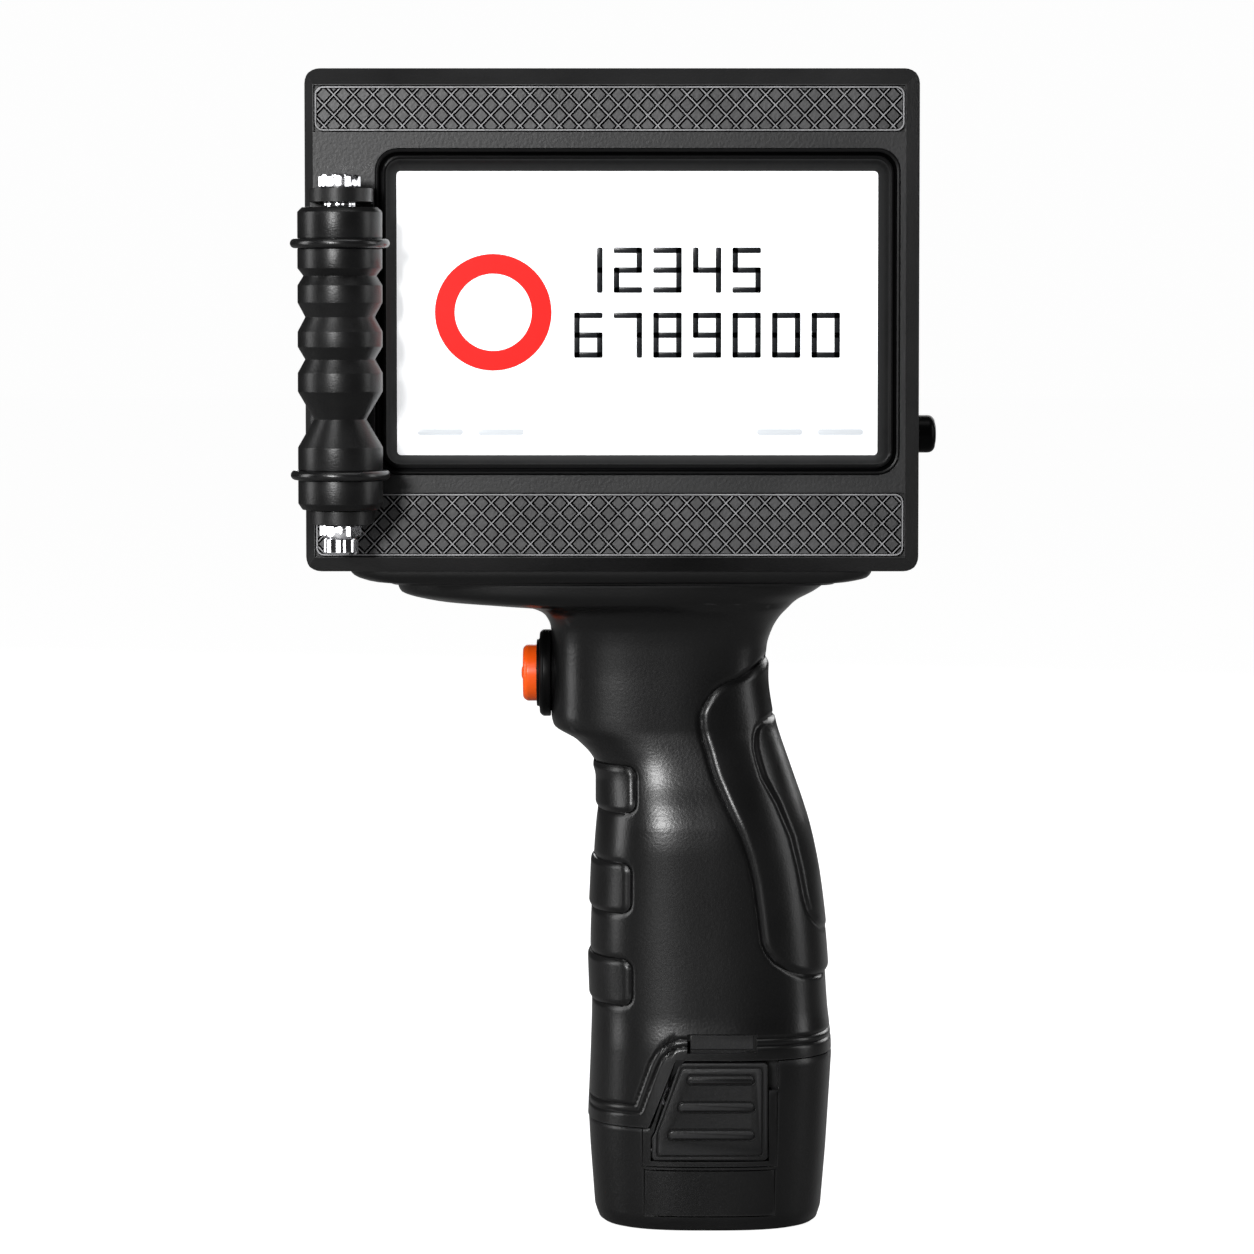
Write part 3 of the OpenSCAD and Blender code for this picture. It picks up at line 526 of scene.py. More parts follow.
def bezel():
    """Two fine ridges round a slope that drops to the glass."""
    lo, hi = cad("screen_bezel")
    proud, glass = lo.y, hi.y
    window = (-62.0, 156.65, 32.8, 212.55)
    outer_corner, corner_shrink, slope_corner, window_corner = 4.4, 0.75, 2.6, 0.8
    ledge, sunk = 2.35, 0.5
    # Distance in from the outline, and depth behind the front of the ridges
    steps = [(0, glass - proud), (0, 0.8), (0.12, 0.35), (0.4, 0.08), (0.7, 0.15), (0.92, 0.62), (1.15, 0.85),
             (1.35, 0.6), (1.5, 0.12), (1.8, 0), (2.15, 0.12), (ledge, sunk)]
    loops = []
    for d, y in steps:
        loop = round_rect(lo.x + d, lo.z + d, hi.x - d, hi.z - d, outer_corner - corner_shrink * d)
        loops.append([(p[0], proud + y, p[1]) for p in loop])
    outer = (lo.x + ledge, lo.z + ledge, hi.x - ledge, hi.z - ledge)
    for t in (0.15, 0.5, 0.85, 1):
        side = [o + (w - o) * t for o, w in zip(outer, window)]
        loop = round_rect(*side, slope_corner + (window_corner - slope_corner) * t)
        y = proud + sunk + (glass - proud - sunk) * t ** 1.2
        loops.append([(p[0], y, p[1]) for p in loop])
    dress_as(rings("bezel_frame", loops, closed_ring=True), "screen_bezel")


def page_ring(glass, front):
    """A thick ring on the left half of the page."""
    middle_x, middle_z, outer, inner = -43, 184.8, 11.5, 7.6
    loops = []
    for radius, y in ((outer, glass), (outer, front), (inner, front), (inner, glass)):
        loops.append([(middle_x + radius * math.cos(a), y, middle_z + radius * math.sin(a))
                      for a in turn(64)])
    return rings("page_ring", loops, closed_ring=True)


def page_digits(glass, front):
    """Two rows of plain digits, each digit made of up to seven bars."""
    first_x, pitch, wide, tall, thick = -26.5, 7.8, 4.5, 3.9, 0.55
    segments = {"a": (0, 2, 1, 2), "b": (1, 1, 1, 2), "c": (1, 0, 1, 1), "d": (0, 0, 1, 0), "e": (0, 0, 0, 1),
                "f": (0, 1, 0, 2), "g": (0, 1, 1, 1)}
    shapes = {"0": "abcdef", "1": "bc", "2": "abged", "3": "abgcd", "4": "fgbc", "5": "afgcd", "6": "afgedc",
              "7": "abc", "8": "abcdefg", "9": "abcdfg"}
    bars = []
    for text, z0 in (("12345", 189.2), ("6789000", 176.4)):
        for place, digit in enumerate(text):
            x0 = first_x + pitch * place
            for key in shapes[digit]:
                ax, az, bx, bz = segments[key]
                a = (x0 + ax * wide - thick, z0 + az * tall - thick)
                b = (x0 + bx * wide + thick, z0 + bz * tall + thick)
                outline = soften([(a[0], a[1]), (b[0], a[1]), (b[0], b[1]), (a[0], b[1])], 0.3)
                bars.append(plate_y("bar", outline, front, glass, 0.01))
    return joined("page_digits", bars)


def page_tabs(glass, front):
    """Four short grey bars along the lower edge of the page."""
    low, high, width = 160.6, 161.8, 9
    tabs = [plate_y("tab", round_rect(x, low, x + width, high, 0.5), front, glass, 0.01)
            for x in (-58, -46, 9, 21)]
    return joined("page_tabs", tabs)


def screen():
    """The glass and a plain start page that stands 0.05 mm proud of it."""
    lo, hi = cad("touch_glass")
    glass = plate_y("display_glass", round_rect(lo.x, lo.z, hi.x, hi.z, 2), lo.y, hi.y, 0.1)
    dress_as(glass, "touch_glass")
    for draw, mat in ((page_ring, "screen_red"), (page_digits, "screen_ink"), (page_tabs, "screen_grey")):
        dress(draw(lo.y, lo.y - 0.05), "chassis", "screen_glass", mat=mat)


def diamond_net(name, lo, hi, phase):
    """Diamonds side by side, each with a ridge, a groove and a flat middle."""
    half_x, half_z = 3.85 / 2, 4.03 / 2
    proud = lo.y - 0.08
    # Share of the diamond's size, and depth behind the ridges
    section = [(1, 0), (0.925, 0), (0.88, 0.45), (0.76, 0.47), (0.69, 0.12), (0.65, 0.06)]
    verts, faces = [], []
    columns = int((hi.x - lo.x) / half_x) + 3
    rows = int((hi.z - lo.z) / half_z) + 3
    for i in range(columns):
        for j in range(rows):
            if (i + j) % 2:
                continue
            cx, cz = lo.x + (i - 1) * half_x, lo.z + phase + (j - 1) * half_z
            base = len(verts)
            for scale, depth in section:
                for ux, uz in ((1, 0), (0, 1), (-1, 0), (0, -1)):
                    verts.append((cx + ux * half_x * scale, proud + depth, cz + uz * half_z * scale))
            for k in range(len(section) - 1):
                for c in range(4):
                    d = (c + 1) % 4
                    a, b = base + 4 * k, base + 4 * (k + 1)
                    faces.append((a + c, a + d, b + d, b + c))
            last = base + 4 * (len(section) - 1)
            faces.append((last, last + 1, last + 2, last + 3))
    return new_object(name + "_net", verts, faces, 25)


def trim_net(net, lo, hi):
    """Cuts a net to the inside of the strip's rim and closes it behind, as one solid."""
    bm = bmesh.new()
    bm.from_mesh(net.data)
    edge, back = 0.55, 0.6
    for point, normal in (((lo.x + edge, 0, 0), (-1, 0, 0)), ((hi.x - edge, 0, 0), (1, 0, 0)),
                          ((0, 0, lo.z + edge), (0, 0, -1)), ((0, 0, hi.z - edge), (0, 0, 1))):
        bmesh.ops.bisect_plane(bm, geom=bm.verts[:] + bm.edges[:] + bm.faces[:], dist=1e-7,
                               plane_co=[c * MM for c in point], plane_no=normal, clear_outer=True)
    rim = [e for e in bm.edges if e.is_boundary]
    skirt = bmesh.ops.extrude_edge_only(bm, edges=rim)["geom"]
    for v in skirt:
        if isinstance(v, bmesh.types.BMVert):
            v.co.y = (lo.y + back) * MM
    bmesh.ops.edgeloop_fill(bm, edges=[e for e in bm.edges if e.is_boundary])
    bm.to_mesh(net.data)
    bm.free()


def diamond_strip(node, name, phase):
    """A grip strip: raised diamonds in a net of fine ridges, inside a plain rim."""
    lo, hi = cad(node)
    net = diamond_net(name, lo, hi, phase)
    trim_net(net, lo, hi)
    flat, top, corner = 0.12, 0.04, 1.7
    loops = []
    for d, y in ((0, hi.y), (0, lo.y + flat), (0.12, lo.y - top), (0.4, lo.y - top), (0.56, lo.y + flat),
                 (0.56, hi.y)):
        outline = round_rect(lo.x + d, lo.z + d, hi.x - d, hi.z - d, corner - d)
        loops.append([(p[0], y, p[1]) for p in outline])
    rim = rings(name + "_rim", loops, closed_ring=True)
    piece = dress_as(joined(name, [net, rim], sharp=25), node)
    piece.data.materials.append(MATS["ridge_rubbed"])
    piece.data.materials.append(MATS["moat_dark"])
    # Flat tops of the ridges and the rim get the painted highlight colour; walls and grooves get the painted
    # shade colour
    field, ridge, groove = range(3)
    for face in piece.data.polygons:
        depth = face.center.y / MM - lo.y
        face.material_index = groove
        if abs(face.normal.y) > 0.95 and depth < -0.01:
            face.material_index = field if abs(depth + 0.02) < 0.012 else ridge


bezel()
screen()
diamond_strip("upper_grip_strip", "upper_diamonds", 1.1)
diamond_strip("lower_grip_strip", "lower_diamonds", 0.4)


# ---------- guide rollers ----------

def spool(node, name, ring_nodes, ring_z):
    """A spool with its three V grooves, waist and two ring grooves, bored for its bearings."""
    lo, hi = cad(node)
    r, z0, z1 = (hi.x - lo.x) / 2, lo.z, hi.z
    at = ((lo.x + hi.x) / 2, (lo.y + hi.y) / 2, 0)
    bore, seat, seat_depth, tube = 2.65, 4.05, 3.02, 0.95
    # Lower edge, bottom and upper edge of each groove, and the radius left at its bottom
    dips = [(158.74, 164.2, 169.58, 5.1), (173.2, 175.84, 178.28, 6.8), (181.21, 184.04, 186.87, 6.75),
            (190.2, 192.05, 193.52, 7.1)]
    marks = [(a, [(r, a), (dip, m), (r, b)]) for a, m, b, dip in dips]
    marks += [(z - 1, [(r, z - 1.05), (r - 0.75, z - 0.5), (r - 0.75, z + 0.5), (r, z + 1.05)])
              for z in ring_z]
    outline = [(seat, z0 + seat_depth), (seat, z0), (r - 0.8, z0), (r, z0 + 1.2)]
    for mark in sorted(marks):
        outline += [p for p in mark[1] if p[1] < z1 - 0.95]
    outline += [(r, z1 - 0.9), (r - 0.9, z1), (seat, z1), (seat, z1 - seat_depth), (bore, z1 - seat_depth),
                (bore, z0 + seat_depth)]
    profile = soften(outline, 0.12, n=2)
    dress_as(lathe(name, profile, "z", at, 96, closed=True, sharp=24), node)
    tubes = []
    for z in ring_z:
        section = [(r + 0.5 + tube * math.cos(t), z + tube * math.sin(t)) for t in turn(20)]
        tubes.append(lathe("tube", section, "z", at, 96, closed=True, sharp=80))
    dress_as(joined(name + "_rings", tubes), ring_nodes)


def nuts(node, name):
    """Chamfered hexagon nuts at the two ends of the roller's bolt."""
    lo, hi = cad(node)
    middle_x, middle_y = (lo.x + hi.x) / 2, (lo.y + hi.y) / 2
    corner, face, bore, thick, chamfer = 4.04, 3.45, 2.05, 2.55, 0.35
    sixth, steps = math.pi / 3, 48

    def loop(radius_at, z):
        """A loop at height z whose radius depends on the angle."""
        return [(middle_x + radius_at(a) * math.cos(a), middle_y + radius_at(a) * math.sin(a), z)
                for a in turn(steps)]

    def hexagon(a):
        """Radius of the nut's six flats at angle a."""
        return corner * math.cos(sixth / 2) / math.cos(a % sixth - sixth / 2)

    def chamfered(a):
        """The same, cut back to the nut's round face."""
        return min(hexagon(a), face)

    parts = []
    for z0 in (lo.z, hi.z - thick):
        z1 = z0 + thick
        loops = [loop(chamfered, z0), loop(hexagon, z0 + chamfer), loop(hexagon, z1 - chamfer),
                 loop(chamfered, z1), loop(lambda a: bore, z1), loop(lambda a: bore, z0)]
        parts.append(rings("nut", loops, closed_ring=True, sharp=25))
    dress_as(joined(name, parts), node)


def bolt(node, name):
    """Bolt with a round head below and a threaded, chamfered end above."""
    lo, hi = cad(node)
    at = ((lo.x + hi.x) / 2, (lo.y + hi.y) / 2, 0)
    socket, head, shank, crest, root, pitch = 1.6, 3.45, 2, 1.98, 1.78, 0.7
    profile = [(0.9, lo.z + 1.4), (socket, lo.z + 1.3), (socket, lo.z), (3.05, lo.z), (head, lo.z + 0.5),
               (head, lo.z + 2.9), (3.2, lo.z + 3.3), (shank, lo.z + 3.3), (shank, lo.z + 12)]
    z = hi.z - 9
    while z < hi.z - 1.2:
        profile += [(crest, z), (root, z + pitch / 2)]
        z += pitch
    profile += [(1.9, hi.z - 0.8), (1.6, hi.z - 0.6), (0.4, hi.z - 0.6)]
    dress_as(lathe(name, profile, "z", at, 48, sharp=25), node)


spool("front_spool", "front_guide_spool", "front_rings", (153.36, 198.34))
spool("rear_spool", "rear_guide_spool", "rear_rings", (153.36, 195.6))
for side in ("front", "rear"):
    nuts(side + "_roller_nuts", side + "_hex_nuts")
    bolt(side + "_roller_bolt", side + "_axle_bolt")
    refined(side + "_roller_bracket", 0.35, 2)


# ---------- trigger and power button ----------

def trigger():
    """The dished trigger cap and the stepped ring round it."""
    lo, hi = cad("trigger_button")
    at = (0, (lo.y + hi.y) / 2, (lo.z + hi.z) / 2)
    r = (hi.y - lo.y) / 2
    x = lo.x
    stem, stem_start = 2.6, -26
    profile = soften([(stem, hi.x), (stem, stem_start), (r, stem_start), (r, x + 1.15), (r - 0.55, x + 0.45),
                      (r - 1.1, x + 0.28), (r - 1.7, x + 0.5), (1.5, x + 0.5), (1.15, x + 0.1), (0.6, x)],
                     0.3, closed=False)
    dress_as(lathe("trigger_cap", profile, "x", at, 72, sharp=50), "trigger_button")
    lo, hi = cad("trigger_bezel")
    inner, flange, neck, guide = r + 0.3, 8.85, 7.7, 3.4
    profile = soften([(inner, lo.x), (inner + 0.75, lo.x), (inner + 0.85, lo.x + 0.6), (8.2, lo.x + 0.62),
                      (flange, lo.x + 1.3), (flange, lo.x + 2.9), (neck, lo.x + 2.9), (neck, hi.x),
                      (guide, hi.x), (guide, hi.x - 1.5), (inner, hi.x - 1.5)], 0.3)
    dress_as(lathe("trigger_surround", profile, "x", at, 96, closed=True, sharp=50), "trigger_bezel")


def power():
    """The round power key with a softly domed end."""
    lo, hi = cad("power_button")
    at = (0, (lo.y + hi.y) / 2, (lo.z + hi.z) / 2)
    r = (hi.y - lo.y) / 2
    edge, shoulder, dome = 1.5, 1.7, 0.08
    profile = [(0.3, lo.x), (r, lo.x), (r, hi.x - shoulder)]
    profile += [(r - edge + edge * math.cos(t), hi.x - shoulder + edge * math.sin(t))
                for t in (0.3, 0.6, 0.9, 1.2)]
    profile += [(1.6, hi.x - dome), (0.3, hi.x)]
    dress_as(lathe("power_key_cap", profile, "x", at, 72, sharp=50), "power_button", mat="gloss_trim")


trigger()
power()


# ---------- grip ----------

JOINT_LOW, GRIP_TOP = 21.4, 130.4  # lowest height of the battery joint, and the grip's flange
SQUARE = 0.7  # power that squares the ovals of grip and battery; 1 is an ellipse
SKIN = 1.6  # wall of the grip's shells
# Grip outline: height, front edge, rear edge and half thickness
GRIP = np.array([
    (19, -24.7, 25.2, 23.3), (36, -24.0, 25.0, 23.2), (44, -23.8, 24.2, 22.4), (56, -24.1, 23.4, 22.1),
    (70, -23.6, 21.8, 22.0), (76, -23.3, 20.7, 22.05), (81, -22.9, 19.5, 21.7), (85, -22.5, 18.25, 20.85),
    (90, -22.5, 16.5, 19.35), (94, -23.5, 15.1, 18.45), (98, -27.0, 13.7, 17.8), (101, -31.6, 12.8, 17.5),
    (103, -32, 12.4, 17.5), (111, -32, 11.4, 17.5), (117, -32, 11.8, 17.8), (120.5, -32.1, 12.9, 18.5),
    (123, -33.1, 14.4, 19.8), (125, -37, 16.3, 21.4), (125.7, -46, 17, 22.2), (126.5, -56, 18, 23.1),
    (128.3, -62.6, 21.4, 24.3), (130.4, -63.4, 24.4, 24.8)])
# Side view of the joint with the battery: X and height
JOINT = np.array([(-30, JOINT_LOW), (-12.1, JOINT_LOW), (-7.1, 35.1), (30, 35.1)])
JOINT_SOFT = np.array(soften([tuple(p) for p in JOINT], 2.6, closed=False, n=5))
# Front edge of the palm pad and of the raised island on it: height and X
PALM = np.array([
    (51, 22.5), (51.6, 18.9), (52.6, 16.2), (54.6, 13.1), (56.5, 11.6), (58.5, 10.7), (64, 10.0),
    (70.6, 9.05), (75.8, 7.8), (80.6, 6.05), (86, 3.5), (91.4, 1.05), (94.2, 0.15), (96.7, -0.5),
    (98.9, -1.2), (101.2, -1.8), (102.7, -1.9), (104.5, -1.8), (105.9, -1.2), (107.5, -0.15),
    (108.9, 1.05), (110.1, 2.85), (110.8, 4.9), (111.2, 6.2), (112.3, 8.2), (113.6, 10.1), (114.6, 11.3)])
ISLAND = np.array([
    (59.9, 22.6), (61.9, 20.7), (64.2, 19.3), (66.9, 18.5), (72.8, 17.4), (79.3, 15.8), (85.8, 13.1),
    (91.1, 10.2), (94.3, 9.2), (96.9, 8.6), (99.3, 8.6), (100.9, 9.0), (102, 10.05), (102.5, 11.3),
    (102.9, 12.2)])
# Lower and upper height of each finger pad, and how far back it reaches
FINGERS = ((84.4, 93.6, -15.0), (64.2, 74.3, -16.0), (45.5, 54.8, -15.8))


def squared(t, power=SQUARE):
    """A cosine or sine raised to a power with its sign kept, which squares an oval."""
    return np.sign(t) * np.abs(t) ** power


def joint_height(x):
    """Height of the battery joint at X."""
    return np.interp(x, JOINT[:, 0], JOINT[:, 1])


def smooth_column(c, z):
    """A column of the grip table on a smooth curve that never overshoots."""
    x, y = GRIP[:, 0], GRIP[:, c]
    step, rise = np.diff(x), np.diff(y)
    slope = rise / step
    tangent = np.zeros_like(y)
    same = slope[:-1] * slope[1:] > 0
    w1, w2 = 2 * step[1:] + step[:-1], step[1:] + 2 * step[:-1]
    with np.errstate(divide="ignore", invalid="ignore"):
        mean = (w1 + w2) / (w1 / slope[:-1] + w2 / slope[1:])
    tangent[1:-1] = np.where(same, mean, 0)
    tangent[0], tangent[-1] = slope[0], slope[-1]
    z = np.clip(z, x[0], x[-1])
    k = np.clip(np.searchsorted(x, z) - 1, 0, len(x) - 2)
    t = (z - x[k]) / step[k]
    return ((1 + 2 * t) * (1 - t) ** 2 * y[k] + t * (1 - t) ** 2 * step[k] * tangent[k]
            + t * t * (3 - 2 * t) * y[k + 1] + t * t * (t - 1) * step[k] * tangent[k + 1])


def oval(z, a, grow=0.0):
    """A point of the grip's squared oval at height z and angle a, moved out by grow."""
    front, rear, half = (smooth_column(c, z) for c in (1, 2, 3))
    x = (front + rear) / 2 + ((rear - front) / 2 + grow) * squared(np.cos(a))
    y = (half + grow) * squared(np.sin(a))
    return np.stack([x, y, z + 0 * x], -1)


def angle_at(z, x):
    """The oval's angle, from 0 to pi, at which it passes X at height z."""
    front, rear = smooth_column(1, z), smooth_column(2, z)
    c = np.clip((x - (front + rear) / 2) / ((rear - front) / 2), -1, 1)
    return np.arccos(squared(c, 1 / SQUARE))


def even_angles(a0, a1, count):
    """Angles from a0 to a1 that are evenly spaced along a squared oval."""
    fine = np.linspace(a0, a1, 6001)
    x, y = squared(np.cos(fine)), squared(np.sin(fine))
    walk = np.concatenate([[0], np.cumsum(np.hypot(np.diff(x), np.diff(y)))])
    return np.interp(np.linspace(0, walk[-1], count), walk, fine)


def distance_to(x, z, line):
    """Distance in side view to a line of points."""
    best = np.full(np.shape(x), 1e9)
    for (ax, az), (bx, bz) in zip(line[:-1], line[1:]):
        ux, uz = bx - ax, bz - az
        t = np.clip(((x - ax) * ux + (z - az) * uz) / (ux * ux + uz * uz + 1e-12), 0, 1)
        best = np.minimum(best, np.hypot(x - ax - t * ux, z - az - t * uz))
    return best


def ease(t):
    """A soft step from 0 to 1."""
    t = np.clip(t, 0, 1)
    return t * t * (3 - 2 * t)


def ditch(distance, width):
    """A soft groove's share of its full depth at a distance from its middle."""
    return np.exp(-(distance / width) ** 2)


def pushed(points, amount):
    """A grid of points moved along its own normals."""
    du = np.gradient(points, axis=1)
    dv = np.gradient(points, axis=0)
    normal = np.cross(du, dv)
    normal /= np.maximum(np.linalg.norm(normal, axis=-1, keepdims=True), 1e-9)
    outward = points - np.mean(points, axis=(0, 1))
    outward[..., 2] = 0
    sign = np.sign(np.sum(normal * outward))
    return points + normal * sign * amount[..., None]


def shell(name, outer, inner, sharp=45):
    """A closed shell between two grids of points, which may differ in density."""
    verts = [tuple(p) for g in (outer, inner) for row in g for p in row]
    offset = outer.shape[0] * outer.shape[1]
    faces = []
    for grid, base in ((outer, 0), (inner, offset)):
        rows, cols = grid.shape[:2]
        for i in range(rows - 1):
            for j in range(cols - 1):
                a = base + i * cols + j
                faces.append((a, a + 1, a + cols + 1, a + cols))

    def side(grid, base, which):
        """Numbers of the vertices along one side of a grid."""
        rows, cols = grid.shape[:2]
        return {"bottom": [base + j for j in range(cols)],
                "top": [base + (rows - 1) * cols + j for j in range(cols)],
                "left": [base + i * cols for i in range(rows)],
                "right": [base + i * cols + cols - 1 for i in range(rows)]}[which]

    for which in ("bottom", "top", "left", "right"):
        a, b = side(outer, 0, which), side(inner, offset, which)
        i = j = 0
        while i < len(a) - 1 or j < len(b) - 1:
            if j == len(b) - 1 or (i < len(a) - 1 and (i + 1) / (len(a) - 1) <= (j + 1) / (len(b) - 1)):
                faces.append((a[i], a[i + 1], b[j]))
                i += 1
            else:
                faces.append((a[i], b[j + 1], b[j]))
                j += 1
    return new_object(name, verts, faces, sharp)


def grip_rows(count):
    """Heights that crowd together where the grip's outline turns, and round the battery joint."""
    z = np.linspace(JOINT_LOW, GRIP_TOP, 3000)
    walk = np.cumsum(1 + 0.35 * np.abs(np.gradient(smooth_column(1, z), z)) + 0.8 * (z < 43))
    return np.interp(np.linspace(walk[0], walk[-1], count), walk, z)


def grip_grid(a0, a1, columns, rows, depth):
    """Half of the grip's surface, from the battery joint to the flange, depth inside its outside."""
    angles = even_angles(a0, a1, columns)
    bottom = joint_height(oval(np.full(columns, 28.0), angles)[:, 0])
    z = bottom + (grip_rows(rows)[:, None] - JOINT_LOW) * (GRIP_TOP - bottom) / (GRIP_TOP - JOINT_LOW)
    a = np.broadcast_to(angles, z.shape)
    if depth:
        # The inside stays flat at the front and the rear, and near the top also at the sides
        points = oval(z, a, -depth)
        points[..., 0] = np.clip(points[..., 0], -30, 22.8)
        points[..., 1] = np.where(z > 120, np.clip(points[..., 1], -16.4, 16.4), points[..., 1])
        return points
    return oval(z, a)


def grip_relief(p):
    """Depth of the collar grooves and of the moats round the pads, as a height above the grip."""
    x, z = p[..., 0], p[..., 2]
    to_joint = distance_to(x, z, JOINT_SOFT)
    groove, moat, moat_width = 0.38, 0.4, 0.45
    relief = -groove * ditch(to_joint - 2.75, 0.3) - groove * ditch(to_joint - 4.35, 0.3)
    palm = np.concatenate([PALM[:, ::-1], [(30, 117)]])
    relief -= moat * ditch(distance_to(x, z, palm) - 0.15, moat_width)
    for z0, z1, x1 in FINGERS:
        outline = soften([(-40, z0), (x1, z0), (x1, z1), (-40, z1)], 2.2, closed=False)
        relief -= moat * ditch(distance_to(x, z, outline), moat_width)
    return relief


def handle_half(node, name, a0, a1):
    """Half of the grip's shell, with the latch's window and the hole for the trigger."""
    outer = grip_grid(a0, a1, 230, 270, 0)
    off_seam = np.abs(outer[..., 1]) > 0.3
    outer = pushed(outer, grip_relief(outer) * off_seam)
    inner = grip_grid(a0, a1, 24, 40, SKIN)
    inner[:, 0, 1] = inner[:, -1, 1] = 0
    side = -1 if a0 > 3 else 1
    window = sorted((side * 30, side * 21.3))
    tools = [block("window", (-4.6, window[0], 36.5), (9.4, window[1], 40.4)),
             lathe("hole", [(7.9, -36), (7.9, -20)], "x", (0, 0, 111.2), 48)]
    piece = shell(name, outer, inner)
    cut(piece, *tools)
    dress_as(piece, node)


def pad(name, z_rows, edge_x, front_side, height, island=None, columns=90, roll=1.3):
    """A raised pad wrapped round the grip: edge_x gives its edge at each height, on both sides."""
    z = np.asarray(z_rows)[:, None]
    reach = angle_at(z, edge_x(z))
    t = np.linspace(-1, 1, columns)[None, :]
    a = math.pi + t * (math.pi - reach) if front_side else t * reach
    z = np.broadcast_to(z, a.shape)
    base = oval(z, a)
    x = base[..., 0]
    far = -40 if front_side else 40
    line = np.stack([edge_x(z_rows), z_rows], -1)
    line = np.concatenate([[(far, z_rows[0])], line, [(far, z_rows[-1])]])
    amount = height * np.sqrt(ease(distance_to(x, z, line) / roll))
    if island is not None:
        ring = distance_to(x, z, island[:, ::-1])
        inside = (x > np.interp(z, island[:, 0], island[:, 1])) & (z > island[0, 0]) & (z < island[-1, 0])
        amount = amount - 0.35 * ditch(ring, 0.4) + 0.25 * ease(ring / 0.9) * inside
    outer = pushed(base, amount)
    inner = oval(z[::6], a[::6], -0.35)[:, ::6]
    return shell(name, outer, inner, 50)


def palm_edge(z):
    """X of the palm pad's edge at height z."""
    return np.interp(z, PALM[:, 0], PALM[:, 1])


def finger_edge(z0, z1, x1, corner=2.0):
    """The edge of a finger pad between two heights, with rounded corners, as a function of height."""
    def edge(z):
        """X of the pad's edge at height z."""
        t = np.clip(np.minimum(z - z0, z1 - z) / corner, 0, 1)
        return x1 - corner * (1 - np.sqrt(np.maximum(1 - (1 - t) ** 2, 0)))

    return edge


def pads():
    """The palm cushion and the three finger cushions."""
    palm = pad("palm_cushion", np.linspace(51.05, 114.5, 151), palm_edge, False, 0.75, ISLAND, 121)
    dress_as(palm, "palm_pad")
    parts = [pad("finger", np.linspace(z0, z1, 43), finger_edge(z0, z1, x1), True, 0.55, None, 85, 1.1)
             for z0, z1, x1 in FINGERS]
    dress_as(joined("finger_cushions", parts), "finger_pads")


handle_half("handle_near_shell", "handle_near_half", math.pi, 2 * math.pi)
handle_half("handle_far_shell", "handle_far_half", 0, math.pi)
pads()


def mount():
    """The flared plate between head and grip."""
    # Height, front edge, rear edge and half thickness
    profile = ((133.5, -71.9, 32.2, 26), (132.9, -71.6, 32.1, 25.95), (132.4, -71.1, 31.8, 25.85),
               (131.9, -70.2, 31.3, 25.6), (131.6, -69.3, 30.5, 25.4), (131.25, -68.2, 29.0, 25.2),
               (131.0, -66.9, 27.6, 25.0), (130.88, -65.6, 26.4, 24.85), (130.84, -64.3, 25.3, 24.75),
               (130.5, -63.4, 24.6, 24.6))
    loops = [[(p[0], p[1], z) for p in round_rect(x0, -half, x1, half, 6)] for z, x0, x1, half in profile]
    dress_as(rings("neck_plate", loops, sharp=25), "mount_plate")


mount()


# ---------- battery ----------

# Side outline of the battery: height, front edge and rear edge
PACK = np.array([(0, -21.8, 21.6), (0.5, -22.4, 22.2), (3, -23.2, 22.9), (15, -24.1, 23.9), (28, -24.8, 24.7),
                 (34.8, -24.9, 25.1)])
CELLS = ((-8.65, 0), (7.04, 9.06), (7.04, -9.06))
# Outline of a latch's sunk field
FIELD = [(-10.4, 15.9), (10.35, 15.9), (10.35, 33.5), (-5.5, 33.5), (-10.4, 20.3)]
# Panel lines on each side of the battery: two corners in X and Z, and how near to Y = 0 each line reaches
PANEL_LINES = ((13.4, 13.5, 13.65, 28.5, 20.4), (-13.65, 13.5, -13.4, 21.6, 20.2),
               (-13.65, 13.25, 13.65, 13.5, 20.4), (-13.3, 3.2, -13.0, 12.7, 19.6),
               (12.9, 3.2, 13.2, 12.7, 19.6), (-13.3, 12.5, 13.2, 12.8, 20.3), (-13.3, 3.1, 13.2, 3.35, 19.8))


def hull_point(angle, radius):
    """A point of the outline round the three cells, by the direction that it faces."""
    u = (math.cos(angle), math.sin(angle))
    c = max(CELLS, key=lambda c: c[0] * u[0] + c[1] * u[1])
    return c[0] + radius * u[0], c[1] + radius * u[1]


def latch_outline(room, top):
    """Outline of a latch's pad up to a height, with room all round below it."""
    return [(-11.6 - room, 14.8 - room), (11.55 + room, 14.8 - room), (11.55 + room, top), (-6.2 - room, top),
            (-11 - room, 20.4), (-11.6 - room, 19.4)]


def side_plank(outline, depth, s):
    """A cutter for side s of the battery that reaches in to a distance from Y = 0."""
    near, far = sorted((s * 30, s * depth))
    return plate_y("tool", outline, near, far, HAIR)


def side_cutters(s):
    """The latch's pocket, the slot beside it and the panel lines of side s."""
    tools = [side_plank(latch_outline(0.3, 37), 19.0, s)]
    for x0, z0, x1, z1, depth in ((11.6, 28.9, 13.8, 37, 19.3),) + PANEL_LINES:
        tools.append(side_plank([(x0, z0), (x1, z0), (x1, z1), (x0, z1)], depth, s))
    return tools


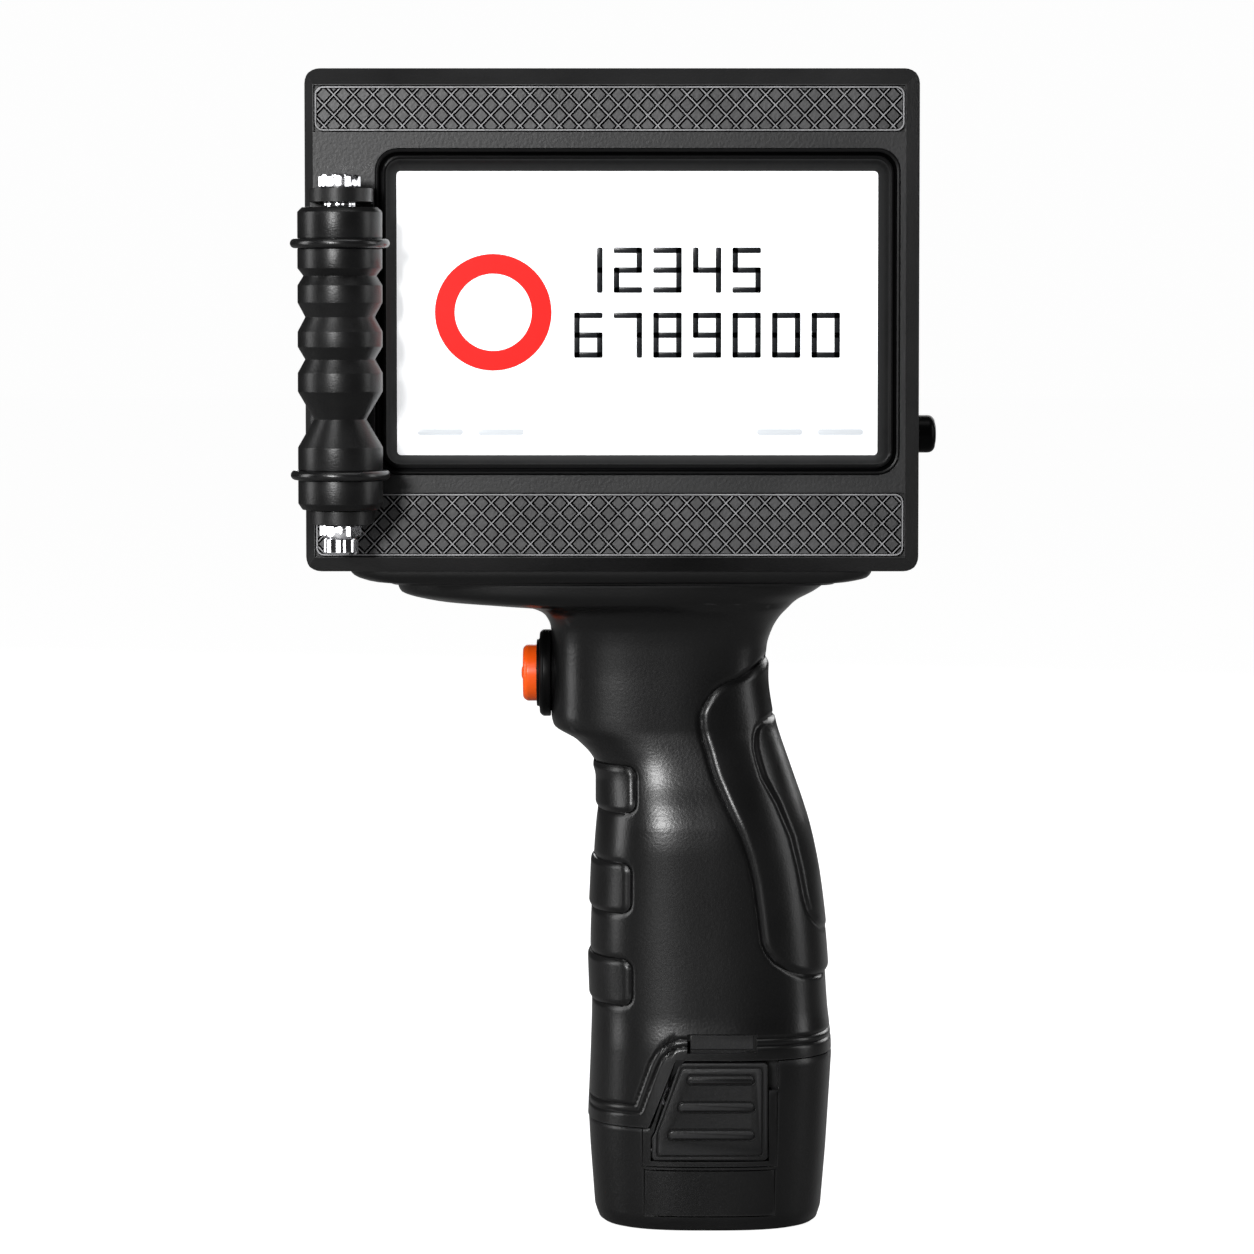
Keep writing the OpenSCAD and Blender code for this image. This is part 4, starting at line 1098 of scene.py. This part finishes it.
def battery_case():
    """The pack's hollow case, open at the top, with latch pockets and panel lines."""
    count, gap, base, bore = 240, 0.3, 2.6, 10.15
    half_width, length = 23.2, 50
    angles = even_angles(0, 2 * math.pi, count + 1)[:-1]

    def ring(z, grow=0.0):
        """The outline at height z, moved out by grow."""
        z = np.broadcast_to(z, (count,)).astype(float)
        front, rear = np.interp(z, PACK[:, 0], PACK[:, 1]), np.interp(z, PACK[:, 0], PACK[:, 2])
        x = (front + rear) / 2 + ((rear - front) / 2 + grow) * squared(np.cos(angles))
        y = (half_width * (rear - front) / length + grow) * squared(np.sin(angles))
        return np.stack([x, y, z], -1)

    upper = ring(28)
    top = joint_height(upper[:, 0]) - gap
    loops = [ring(0.0, -1.6), ring(0.06, -0.9), ring(0.3, -0.35), ring(0.75, -0.08)]
    for t in np.linspace(0.04, 1, 46):
        loops.append(ring(1 + (top - 1) * t, -0.25 if t == 1 else 0.0))
    inner = np.array([hull_point(a, bore) for a in np.linspace(0, 2 * math.pi, count + 1)[:-1]])
    middle = upper[:, :2] * 0.5 + inner * 0.5
    for line in (middle, inner):
        loops.append(np.column_stack([line, joint_height(line[:, 0]) - gap]))
    loops.append(np.column_stack([inner, np.full(count, base)]))
    piece = rings("pack_case", [[tuple(p) for p in loop] for loop in loops], sharp=50)
    cut(piece, joined("tools", side_cutters(-1) + side_cutters(1)), crossing=True)
    dress_as(piece, "battery_case")


def rounded_bar(x0, z0, x1, z1, y, depth, s):
    """A rib with round ends on side s, whose front is y from the middle."""
    outline = round_rect(x0, z0, x1, z1, min((z1 - z0) / 2 - 0.01, 0.8), 5)
    return plate_y("bar", outline, s * y, s * (y - depth), 0.32)


def latch(node, name, s):
    """A squeeze latch: rimmed thumb pad with a sunk field, three ribs, tongue and hook tooth."""
    outside = s * 24
    rim = plate_y("pad", soften(latch_outline(0, 34.6), 1.0), s * 22.5, s * 20.2, 0.3, both=True)
    field = plate_y("field", soften(FIELD, 0.8), s * 22.85, s * 21.6, 0.25)
    ribs, slots, room = [], [], 0.4
    for x0, z0, x1, z1 in ((-4.4, 30.4, 8.75, 32.0), (-6.2, 24.8, 8.75, 26.6), (-8.2, 19.2, 8.75, 21.0)):
        ribs.append(rounded_bar(x0, z0, x1, z1, 23.25, 1.6, s))
        outline = round_rect(x0 - room, z0 - room, x1 + room, z1 + room, 1.1)
        slots.append(plate_y("slot", outline, outside, s * 22.3, HAIR))
    cut(rim, plate_y("moat", soften(inset(FIELD, -0.35), 0.9), outside, s * 22.1, HAIR))
    cut(field, joined("slots", slots), crossing=True)
    parts = [rim, field] + ribs
    for label, low, inside, face, edge, segments in (("tongue", 30, 20.0, 20.95, 0.15, 2),
                                                     ("tooth", 37, 20.5, 21.35, 0.25, 3)):
        near, far = sorted((s * inside, s * face))
        parts.append(bevelled(block(label, (-4, near, low), (8.85, far, 40.1)), edge, segments))
    lo, hi = cad(node)
    pivot = soften([(0.2, lo.x), (0.6, lo.x), (0.6, hi.x), (0.2, hi.x)], 0.1, closed=False)
    parts.append(lathe("pin", pivot, "x", (0, s * 20.3, 16.6), 24))
    dress_as(joined(name, parts), node)


battery_case()
for label, s in (("near", -1), ("far", 1)):
    latch("latch_" + label, label + "_squeeze_latch", s)


# ---------- everything else keeps its CAD shape, with rounded edges ----------

SPRINGS = ("trigger_spring", "latch_springs")
EDGE = 0.12
WIDER_EDGES = {"cartridge_case": 0.6, "clamp_lever": 0.5, "battery_tower": 0.4, "cartridge_cradle": 0.3}
stood_for = {node for piece in bpy.data.objects for node in piece.get("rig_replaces", [])}
for cad_node, carried in sorted(frame["nodes"].items()):
    if cad_node in SPRINGS:
        carried.data.materials.clear()
        carried.data.materials.append(MATS[SLOT[cad_node]])
    elif cad_node not in stood_for:
        refined(cad_node, WIDER_EDGES.get(cad_node, EDGE))


def glints():
    """Strip lights that only the bright metal catches."""
    metal = bpy.data.collections.new("bright_metal")
    for piece in bpy.data.objects:
        if piece.name.endswith(("_axle_bolt", "_hex_nuts", "_roller_spacers_fine")):
            metal.objects.link(piece)
    rollers = (-0.07, -0.04, 0.18)
    for name, place, size, power in (("glint_front", (-0.33, -1.1, 0.25), (0.5, 0.6), 6),
                                     ("glint_right", (0.4, -1.0, 0.2), (0.25, 0.9), 4),
                                     ("glint_left", (-0.95, -0.3, 0.2), (0.2, 0.9), 4),
                                     ("glint_rear", (-0.9, 0.5, 0.2), (0.4, 0.9), 5)):
        light = area_light(name, place, rollers, size, power)
        light.light_linking.receiver_collection = metal


glints()
